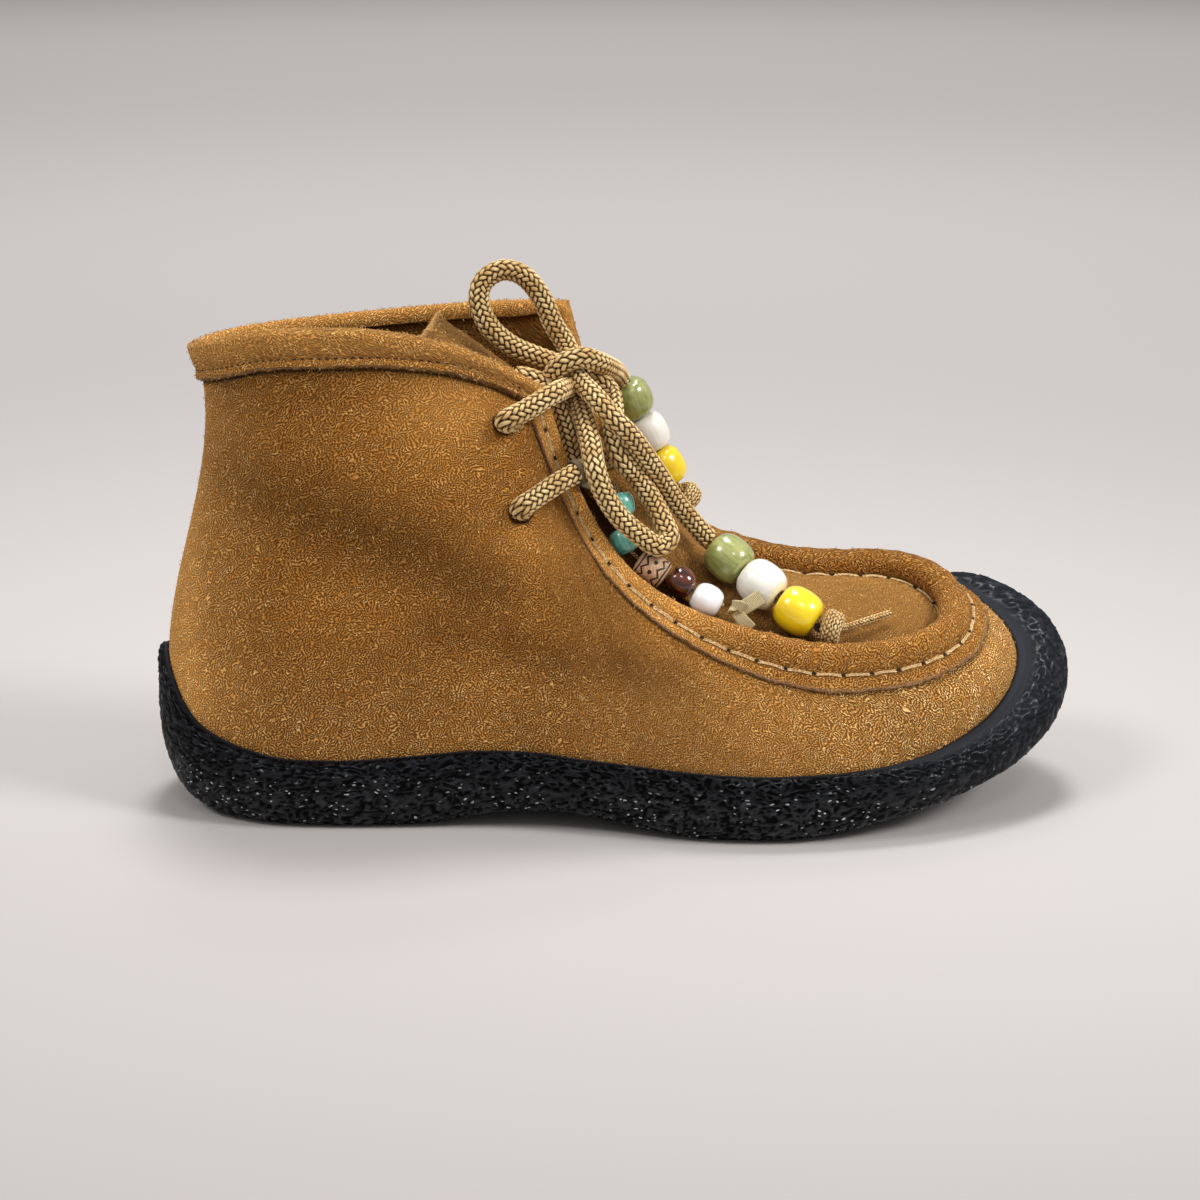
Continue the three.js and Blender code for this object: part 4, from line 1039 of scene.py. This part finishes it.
grid, lip_column = sole_grid(np.linspace(0, ROWS, SOLE_STEPS, endpoint=False))
lengths = grid_lengths(grid, False, False, 0)[..., 1]
past_lip = lengths - lengths[:, lip_column:lip_column + 1]
toe_lip = smooth_step(*TOE_LIP, grid[:, lip_column, 0])[:, None]
work = smooth_step(mix(*CRUMB_STARTS, toe_lip), mix(*CRUMB_FULL, toe_lip), past_lip)
across = np.gradient(grid, axis=1)
along = np.roll(grid, -1, 0) - np.roll(grid, 1, 0)
face_normal = np.cross(along, across)
face_normal /= np.maximum(np.linalg.norm(face_normal, axis=-1, keepdims=True), 1e-9)
face_normal *= np.sign(np.sum(face_normal[0, lip_column + OVER_ROWS] * outward(np.zeros(1))))
lumps = np.array([crumb(*p) if w > 0 else 0 for p, w in zip(grid.reshape(-1, 3).tolist(), work.ravel())])
lumps = lumps.reshape(work.shape)
stands_up = (lumps - 0.4) * work * NODULE_DEPTH
on_ground = smooth_step(*TREAD_CLEAR, grid[..., 2])
grid = grid + face_normal * (stands_up - on_ground * np.maximum(0, stands_up))[..., None]
grid[..., 2] = np.maximum(grid[..., 2], 0)
sole = grid_piece("rubber_sole", grid, rubber(), wraps_along=True, fields={"crumb": work, "lump": lumps})
stands_for(sole, "rubber", "sole")

# Lace
# A round cord braided from tan yarns, painted dark brown in the gaps between them as painted shade and pale
# on their crowns as a painted highlight. It runs through the punched holes, crosses the tongue once and is
# tied in a bow at the throat. Each end carries three beads and is knotted behind them.
LACE = 6.4
BRAID_YARNS = 10  # round the cord, in each direction
BRAID_STITCH = 2  # along the cord
BRAID_RELIEF = 0.8
LACE_ROUTES = {
    "lace_bar": (
        (-25, -24, 94), (-27, -29, 95.6), (-27.5, -33.2, 97.3), (-22.9, -32, 100.2), (-15.8, -29.3, 104.3),
        (-9.2, -24, 106.6), (-4.5, -14, 106.8), (1, -6, 107.2), (3.9, 1, 107.3), (2, 8, 108), (-0.5, 14, 109),
        (-1.6, 20.5, 108.4), (-5, 25.4, 105), (-9.5, 29.2, 101), (-13.8, 31.6, 97.8), (-15, 28.5, 96),
        (-14, 22, 95)),
    "lace_strand_lateral": (
        (-28, -19, 118.5), (-31, -25, 120.3), (-31.6, -29.6, 121.9), (-26.2, -28.6, 124.6),
        (-18.6, -24.2, 128.4), (-15.2, -14.8, 128.2), (-13, -8, 127.5)),
    "lace_strand_medial": (
        (-19, 19, 119), (-19, 25, 121), (-17.6, 30.2, 122.8), (-12, 29.5, 124.5), (-4.5, 22.5, 127.5),
        (-9.5, 7, 129)),
    "lace_loop_back": (
        (-12.5, -3, 132), (-14.8, 1.1, 137.8), (-18.4, 1.5, 143.8), (-22.1, 1, 152.2), (-27.6, 0, 158.8),
        (-33.7, -1, 160.3), (-39, -2, 156.8), (-40, -3.5, 151.2), (-36.9, -5, 144.4), (-30.5, -6, 139),
        (-22.5, -6.5, 135.6), (-15.5, -6.5, 133)),
    "lace_loop_front": (
        (-11.5, -8, 125.5), (-10.7, -12, 122.5), (-9.5, -18, 119.6), (-7.8, -24, 115), (-6.3, -29.5, 108.1),
        (-3.5, -30, 100.3), (0.8, -29.5, 93.6), (6.6, -28.5, 88), (11.9, -27, 84.4), (15.1, -24.5, 86.1),
        (13.1, -22, 90.9), (10.2, -19, 96.2), (5.6, -18, 102.8), (0.8, -19.5, 109.5), (-1.4, -16, 115.5),
        (-1, -10, 120.5), (-2, -5, 125), (-5, -5, 128.4), (-9, -5, 129.4)),
    "lace_end_lateral": (
        (-13.5, -7, 132), (-10.2, -13.2, 129.4), (-5.8, -19.8, 126.2), (-1.3, -23, 121.3), (3.7, -22, 116),
        (11.1, -16.5, 104.5), (17.1, -11, 94.1), (24.7, -7.5, 84.1), (27.3, -7.3, 81.2)),
    "lace_end_medial": (
        (-11, -2, 121.5), (-17.5, -4.5, 124), (-19, -10, 130.2), (-15.2, -13.4, 135.4), (-10.4, -13.2, 137),
        (-5.6, -9, 134.9), (-2.2, 0, 131.6), (-0.4, 11.2, 128.2), (1.2, 17.4, 124.7)),
    "lace_inner": (
        (-29, -11, 131), (-25.7, -12, 130.7), (-20.9, -11.5, 128.3), (-15.9, -13, 119.1), (-13.3, -15, 110.1),
        (-12, -17, 103)),
}


# A cord's centreline in even steps, with two directions across it that turn with it and never twist.
def centreline(route, step):
    rough = curve_through(route, np.linspace(0, 1, 60 * len(route)))
    length = lengths_along(rough)[-1]
    line = evenly(rough, rough, np.linspace(0, length, max(2, round(length / step)) + 1))
    ahead = unit(np.gradient(line, axis=0))
    side = np.cross(ahead[0], (0.3, 0.5, 0.8))
    sides = []
    for direction in ahead:
        side = side - direction * (side @ direction)
        side = side / np.linalg.norm(side)
        sides.append(side)
    sides = np.array(sides)
    return line, sides, np.cross(ahead, sides), length


# How high the braid stands, from 0 in its gaps to 1 on its yarns: two families of double yarns wind opposite
# ways and pass over two and under two.
def braid_height(turn, along):
    one, other = turn + along, turn - along
    phase = (one + np.floor(other)) % 4
    other_phase = (other + np.floor(one)) % 4
    is_one = other_phase < 2
    across = np.where(is_one, one, other) % 1 - 0.5
    length = np.where(is_one, other_phase - 1, phase - 3)
    ply = np.sqrt(1 - 0.6 * (4 * np.abs(across) - 1) ** 2)
    return ply * np.sqrt(np.clip(1 - np.abs(1.95 * across) ** 2.6 - np.abs(0.97 * length) ** 2.6, 0, 1))


def braided(name, route, diameter, material, yarns=BRAID_YARNS, sides=80, step=0.34):
    line, side, other, length = centreline(route, step)
    angle = np.linspace(0, 2 * math.pi, sides, endpoint=False)
    scale = min(1, diameter / LACE * BRAID_YARNS / yarns)
    along = np.linspace(0, length, len(line)) / (BRAID_STITCH * scale)
    stands = braid_height(angle[None] / (2 * math.pi) * yarns, along[:, None])
    radius = diameter / 2 - BRAID_RELIEF * scale * (1 - stands)
    ring = side[:, None] * np.cos(angle)[:, None] + other[:, None] * np.sin(angle)[:, None]
    grid = line[:, None] + ring * radius[..., None]
    piece = grid_piece(name, grid, material, wraps_across=True, caps=True, fields={"yarn": stands})
    return piece, line, length


def cord_yarn():
    material, wire = material_of("braided_cord")
    yarn, place = field(wire, "yarn"), object_place(wire)
    fibre = clouds(wire, place, 2600.0, 2.0)
    soiled = clouds(wire, place, 160.0, 2.0)
    pale = blend(between(soiled, 0.3, 0.7), rgb(212, 172, 108), rgb(255, 228, 168))
    # Painted shade in the gaps between the yarns and a painted highlight on their crowns, both from the
    # yarns' height.
    hue = blend(between(yarn + (fibre - 0.5) * 0.2, 0.2, 0.5), rgb(20, 10, 3), rgb(136, 98, 50))
    hue = blend(between(yarn + (fibre - 0.5) * 0.2, 0.5, 0.84), hue, pale)
    shade(wire, yarn * 0.5 + fibre * 0.5, 0.25 * MM, {
        "Base Color": hue, "Roughness": 0.75, "Specular IOR Level": 0.25, "Sheen Weight": 0.1})
    return material


# The medial end also winds round the knot, and the inner run has no node of its own.
LACE_NODES = {"lace_end_medial": ("lace_end_medial", "lace_knot"), "lace_inner": ()}
tan_braid = cord_yarn()
for name, route in LACE_ROUTES.items():
    piece, line, length = braided(name + "_braid", route, LACE, tan_braid)
    stands_for(piece, "lace", *LACE_NODES.get(name, (name,)))
    if "loop" in name or "end" in name:
        line[0] * MM
        length * MM
        "object" if "loop" in name else "knot"
        line * MM

# Beads
# Turned wooden beads, lacquered green, cream and yellow, threaded on the thinned core of each end of the
# lace, with a knot of the core behind them. One end keeps a short frayed tail.
BEAD_SETS = {
    "lateral": {
        "radius": 6.9, "half": 6.4, "lace_end": (27.3, -7.3, 81.2), "stopper": (62, -27, 60.2),
        "at": ((33.3, -10.8, 76.2), (42.6, -18.5, 70.5), (53, -24, 63.9)),
        "tail": ((67.2, -20.5, 58), (74.4, -16, 58.8), (81.1, -11, 59.4))},
    "medial": {
        "radius": 6.4, "half": 5.7, "lace_end": (1.2, 17.4, 124.7), "stopper": (20.9, 22.8, 87.1),
        "at": ((4.6, 20.4, 118), (9.7, 22, 107.1), (14.8, 21.8, 96.5)), "tail": ()},
}
BEAD_BORE = 1.9
BEAD_FULLNESS = 2.4
LACE_CORE = 2.4
STOPPER_CORD = 4.2
STOPPER = 3.1  # radius of the knot's coil


def lacquer(name, shade_low, shade_high, grain_scale, gloss):
    material, wire = material_of(name)
    own = field(wire, "own", out=1)
    grain = clouds(wire, stretched(wire, own, (1, 1, 0.22)), grain_scale, 4.0, Distortion=0.6)
    blotch = clouds(wire, own, 0.16, 2.0)
    hue = blend(between(grain * 0.7 + blotch * 0.3, 0.36, 0.64), shade_low, shade_high)
    shade(wire, grain, 0.05 * MM, {
        "Base Color": hue, "Roughness": gloss, "Coat Weight": 1.0, "Coat Roughness": 0.12})
    return material


lacquers = {
    "green": lacquer("green_lacquer", rgb(132, 140, 70), rgb(172, 174, 104), 0.7, 0.3),
    "cream": lacquer("cream_lacquer", rgb(232, 225, 208), rgb(249, 244, 234), 0.5, 0.35),
    "yellow": lacquer("yellow_lacquer", rgb(248, 208, 4), rgb(255, 224, 24), 0.35, 0.25),
}


# Three directions for what is threaded on a string: two across it, and the string's own.
def string_axes(axis, aside):
    axis = unit(np.asarray(axis, float))
    side = unit(np.cross(axis, aside))
    return np.stack([side, np.cross(axis, side), axis])


# A bead about its bore: a rounded outside, a small dish at each end and the bore through it.
def bead(name, place, axis, radius, half, bore, fullness, material):
    rise = np.linspace(-1, 1, 25)
    bulge = (1 - np.abs(rise) ** fullness) ** (1 / fullness)
    outline = [(bore, -half * 0.5), (bore, -half * 0.92), (bore + 0.25, -half)]
    outline += list(zip(mix(bore + 0.7, radius, bulge), half * rise))
    outline += [(bore + 0.25, half), (bore, half * 0.92), (bore, half * 0.5)]
    outline = np.array(outline)
    turn = np.linspace(0, 2 * math.pi, 48, endpoint=False)[:, None]
    own = np.stack([outline[:, 0] * np.cos(turn), outline[:, 0] * np.sin(turn), outline[:, 1] + 0 * turn], -1)
    grid = own @ string_axes(axis, (0.2, 0.3, 0.9)) + np.array(place)
    piece = grid_piece(name, grid, material, wraps_along=True, wraps_across=True)
    local = piece.data.attributes.new("own", "FLOAT_VECTOR", "POINT")
    local.data.foreach_set("vector", own.ravel())
    return piece


def stopper_knot(name, place, axis, material):
    turn = np.linspace(0.2, 4.4 * math.pi, 17)
    coil = np.stack([STOPPER * np.cos(turn), STOPPER * np.sin(turn), np.linspace(-2, 2.4, 17)], -1)
    route = coil @ string_axes(axis, (0, 0, 1)) + np.array(place)
    return braided(name, route, STOPPER_CORD, material, yarns=12, sides=48)[0]


for side, parts in BEAD_SETS.items():
    chain = np.array([parts["lace_end"], *parts["at"], parts["stopper"]])
    for k, (colour, material) in enumerate(lacquers.items()):
        made = bead(f"{colour}_bead_{side}", chain[k + 1], chain[k + 2] - chain[k], parts["radius"],
                    parts["half"], BEAD_BORE, BEAD_FULLNESS, material)
        stands_for(made, f"{colour}_bead", f"bead_{colour}_{side}")
    knot = stopper_knot(f"lace_stopper_{side}", chain[-1], chain[-1] - chain[-2], tan_braid)
    stands_for(knot, "lace")
    start = mix(chain[0], chain[1], 0.1)
    route = [start, *chain[1:], *parts["tail"]]
    core, line, length = braided(f"lace_core_{side}", route, LACE_CORE, tan_braid, yarns=6, sides=24)
    stands_for(core, "lace", f"lace_tip_{side}")
    line[0] * MM
    length * MM
    line * MM

# Charm
# A thin string of small beads that lies in the gap beside the tongue: two turquoise, one of carved bone, one
# of dark glass and one white. A grey ribbon ties it to the lace, and a scrap of pale ribbon closes its end.
CHARM_CORD = 1.3
CHARM_BORE = 0.9
CHARM_TOP = (-0.5, -16.6, 100.2)
CHARM_TIE = (35.2, -26.4, 64.9)
TRIANGLES = 8  # round the bone bead
CHARM = (
    # node, place, radius, half length, fullness
    ("charm_turquoise_upper", (1.2, -17.6, 94.2), 4.1, 3.8, 2.2),
    ("charm_turquoise_lower", (2, -20.3, 84.1), 4.1, 3.8, 2.2),
    ("charm_bone", (10.2, -22.5, 76.5), 4.5, 4.7, 6),
    ("charm_brown", (18.8, -23.3, 72.6), 4.4, 4, 2.2),
    ("charm_white", (26.2, -25.4, 67.6), 4.8, 4.5, 2.2),
)


# Bone with dark cuts: two rows of triangles, and a row of dots between rings.
def carved_bone():
    material, wire = material_of("carved_bone")
    own = field(wire, "own", out=1)
    x, y, along = (wire.node("ShaderNodeSeparateXYZ", {}, {0: own}, out=k) for k in range(3))
    turn = wire.math("ARCTAN2", y, x) * (TRIANGLES / (2 * math.pi))
    from_middle = wire.math("ABSOLUTE", along, 0.0)
    wave = wire.math("PINGPONG", turn, 0.5) * 2.0
    zigzag = wire.math("ABSOLUTE", from_middle - (1.6 + wave * 1.3), 0.0)
    cuts = 1 - between(zigzag, 0.22, 0.42)
    dot_turn = wire.math("PINGPONG", turn + 0.5, 0.5)
    dots = 1 - between(along * along + dot_turn * dot_turn * 9.0, 0.2, 0.5)
    rings = 1 - between(wire.math("ABSOLUTE", from_middle - 3.7, 0.0), 0.12, 0.3)
    carved = wire.math("MAXIMUM", wire.math("MAXIMUM", cuts, dots), rings)
    grain = clouds(wire, own, 1.5, 3.0)
    bone = blend(between(grain, 0.3, 0.7), rgb(176, 132, 96), rgb(216, 176, 140))
    shade(wire, grain * 0.1 - carved, 0.2 * MM, {
        "Base Color": blend(carved, bone, rgb(34, 20, 12)), "Roughness": 0.45})
    return material


charm_finish = {
    "turquoise": ("turquoise", lacquer("turquoise_stone", rgb(84, 164, 148), rgb(130, 206, 186), 0.9, 0.25)),
    "bone": ("bone", carved_bone()),
    "brown": ("brown_bead", lacquer("brown_glass", rgb(34, 10, 3), rgb(104, 42, 14), 0.3, 0.12)),
    "white": ("white_bead", lacquer("white_glaze", rgb(238, 238, 240), rgb(250, 250, 252), 0.4, 0.3)),
}


def ribbon(name, low, high):
    material, wire = material_of(name)
    place = surface_place(wire)
    weave = wire.node("ShaderNodeTexWave", {"wave_type": "BANDS", "bands_direction": "X"},
                      {"Vector": place, "Scale": 0.7, "Distortion": 1.0, "Detail": 2.0})
    fuzz = clouds(wire, place, 2.0, 3.0)
    hue = blend(between(weave * 0.5 + fuzz * 0.5, 0.3, 0.7), low, high)
    shade(wire, weave + fuzz, 0.12 * MM, {"Base Color": hue, "Roughness": 0.85})
    return material


scrap = ribbon("pale_ribbon", rgb(176, 156, 110), rgb(234, 218, 172))
binding = ribbon("grey_binding", rgb(78, 64, 46), rgb(150, 128, 96))
charm_end = mix(np.array(CHARM[-1][1]), np.array(CHARM_TIE), 0.55)
chain = np.array([CHARM_TOP, *(row[1] for row in CHARM), charm_end])
for k, (node, place, radius, half, fullness) in enumerate(CHARM):
    slot, finish = charm_finish[node.split("_")[1]]
    ahead = chain[k + 2] - chain[k]
    made = bead(node + "_bead", place, ahead, radius, half, CHARM_BORE, fullness, finish)
    stands_for(made, slot, node)

# Ribbons: a grey turn round the lace with a tail to the string, and the pale tie with its two ends. Each has
# its route, the way its width lies, its width, where the route starts, its finish and any node it stands for.
RIBBON = 0.5
RIBBON_COLUMNS = 9
RIBBON_STEP = 0.3
BAR_REACH = 3.7
BAR_TURN = np.array((-11.5, -26, 105.9))
BAR_AHEAD = unit(np.array((6.6, 5.3, 2.3)))
BAR_SIDE = unit(np.cross(BAR_AHEAD, (0, 0, 1)))
turn = np.linspace(-0.2, 2 * math.pi, 13)[:, None]
round_bar = BAR_REACH * (np.cos(turn) * np.cross(BAR_SIDE, BAR_AHEAD) + np.sin(turn) * BAR_SIDE)
RIBBONS = (
    (round_bar, BAR_AHEAD, 1.8, BAR_TURN, binding),
    (((1, 1.5, -3.4), (5, 4, -5.2), (10.4, 9, -5.6)), (0.3, 0.3, 1), 1.8, BAR_TURN, binding),
    (((-2.6, -0.6, 0), (-1.2, -2.8, 2.2), (1.3, -3, 1.8), (2, -1.5, -0.8)), (0.5, -0.2, 0.8), 3.2, CHARM_TIE,
     scrap, "charm_tie"),
    (((0.4, -2, 0.6), (3, -2.8, 2.5), (6.6, -2.4, 4.8)), (-0.55, 0, 0.83), 4.4, CHARM_TIE, scrap),
    (((-0.6, -2, 0.2), (1.4, -3, -2.2), (3.8, -2.6, -4.8)), (0.7, 0, 0.7), 3.6, CHARM_TIE, scrap),
)
for k, (route, across, width, start, finish, *nodes) in enumerate(RIBBONS):
    line = centreline(np.array(route) + start, RIBBON_STEP)[0]
    ahead = unit(np.gradient(line, axis=0))
    side = unit(np.array(across) - ahead * (ahead @ np.array(across))[:, None])
    breadth = np.linspace(-0.5, 0.5, RIBBON_COLUMNS) * width
    breadth = np.concatenate([breadth, breadth[::-1]])[:, None]
    lift = np.repeat((-RIBBON / 2, RIBBON / 2), RIBBON_COLUMNS)[:, None]
    grid = line[:, None] + side[:, None] * breadth + np.cross(ahead, side)[:, None] * lift
    strip = grid_piece(f"charm_ribbon_{k}", grid, finish, wraps_across=True, caps=True)
    stands_for(strip, "string", *nodes)
string, line, length = braided("charm_string", chain, CHARM_CORD, tan_braid, yarns=4, sides=16)
stands_for(string, "string", "charm_cord")
line[0] * MM
length * MM
line * MM

# Studio
# A plain pale paper floor that runs out of the picture. Soft round lamps stand above the boot, over the far
# floor, in front, to the left and to the right, and an even white room fills the shadows.
FLOOR = 40
ROOM = 0.44
bpy.ops.mesh.primitive_plane_add(size=FLOOR)
floor = bpy.context.object
floor.name = "floor"
paper, wire = material_of("paper_floor")
grain = clouds(wire, object_place(wire), 400.0, 2.0)
shade(wire, grain, 0.02 * MM, {"Base Color": rgb(186, 181, 178), "Roughness": 0.9})
floor.data.materials.append(paper)

LIGHTS = (
    # name, place, aim, radius, cone in degrees, watts
    ("top", (0.05, 0.5, 2.3), (0, 0.5, 0), 0.3, 84, 118),
    ("far", (0, 2.6, 4), (0, 2.6, 0), 0.5, 80, 376),
    ("front", (0.2, -1.1, 1.55), (0, 0.02, 0.06), 0.35, 17, 41),
    ("left", (-1.1, -0.6, 1.35), (-0.05, 0, 0.07), 0.45, 24, 112),
    ("right", (1.2, -0.5, 1.05), (0.06, 0, 0.05), 0.3, 26, 97),
)
for name, place, aim, radius, cone, watts in LIGHTS:
    light = placed(name, bpy.data.lights.new(name, "SPOT"))
    light.data.spot_size = math.radians(cone)
    light.data.spot_blend = 1
    light.data.shadow_soft_size = radius
    light.data.energy = watts
    light.location = place
    light.rotation_euler = (Vector(aim) - Vector(place)).to_track_quat("-Z", "Y").to_euler()
room = bpy.data.worlds.new("room")
room.use_nodes = True
room.node_tree.nodes["Background"].inputs["Color"].default_value = rgb(254, 254, 255)
room.node_tree.nodes["Background"].inputs["Strength"].default_value = ROOM
scene.world = room
scene.view_settings.view_transform = "Standard"
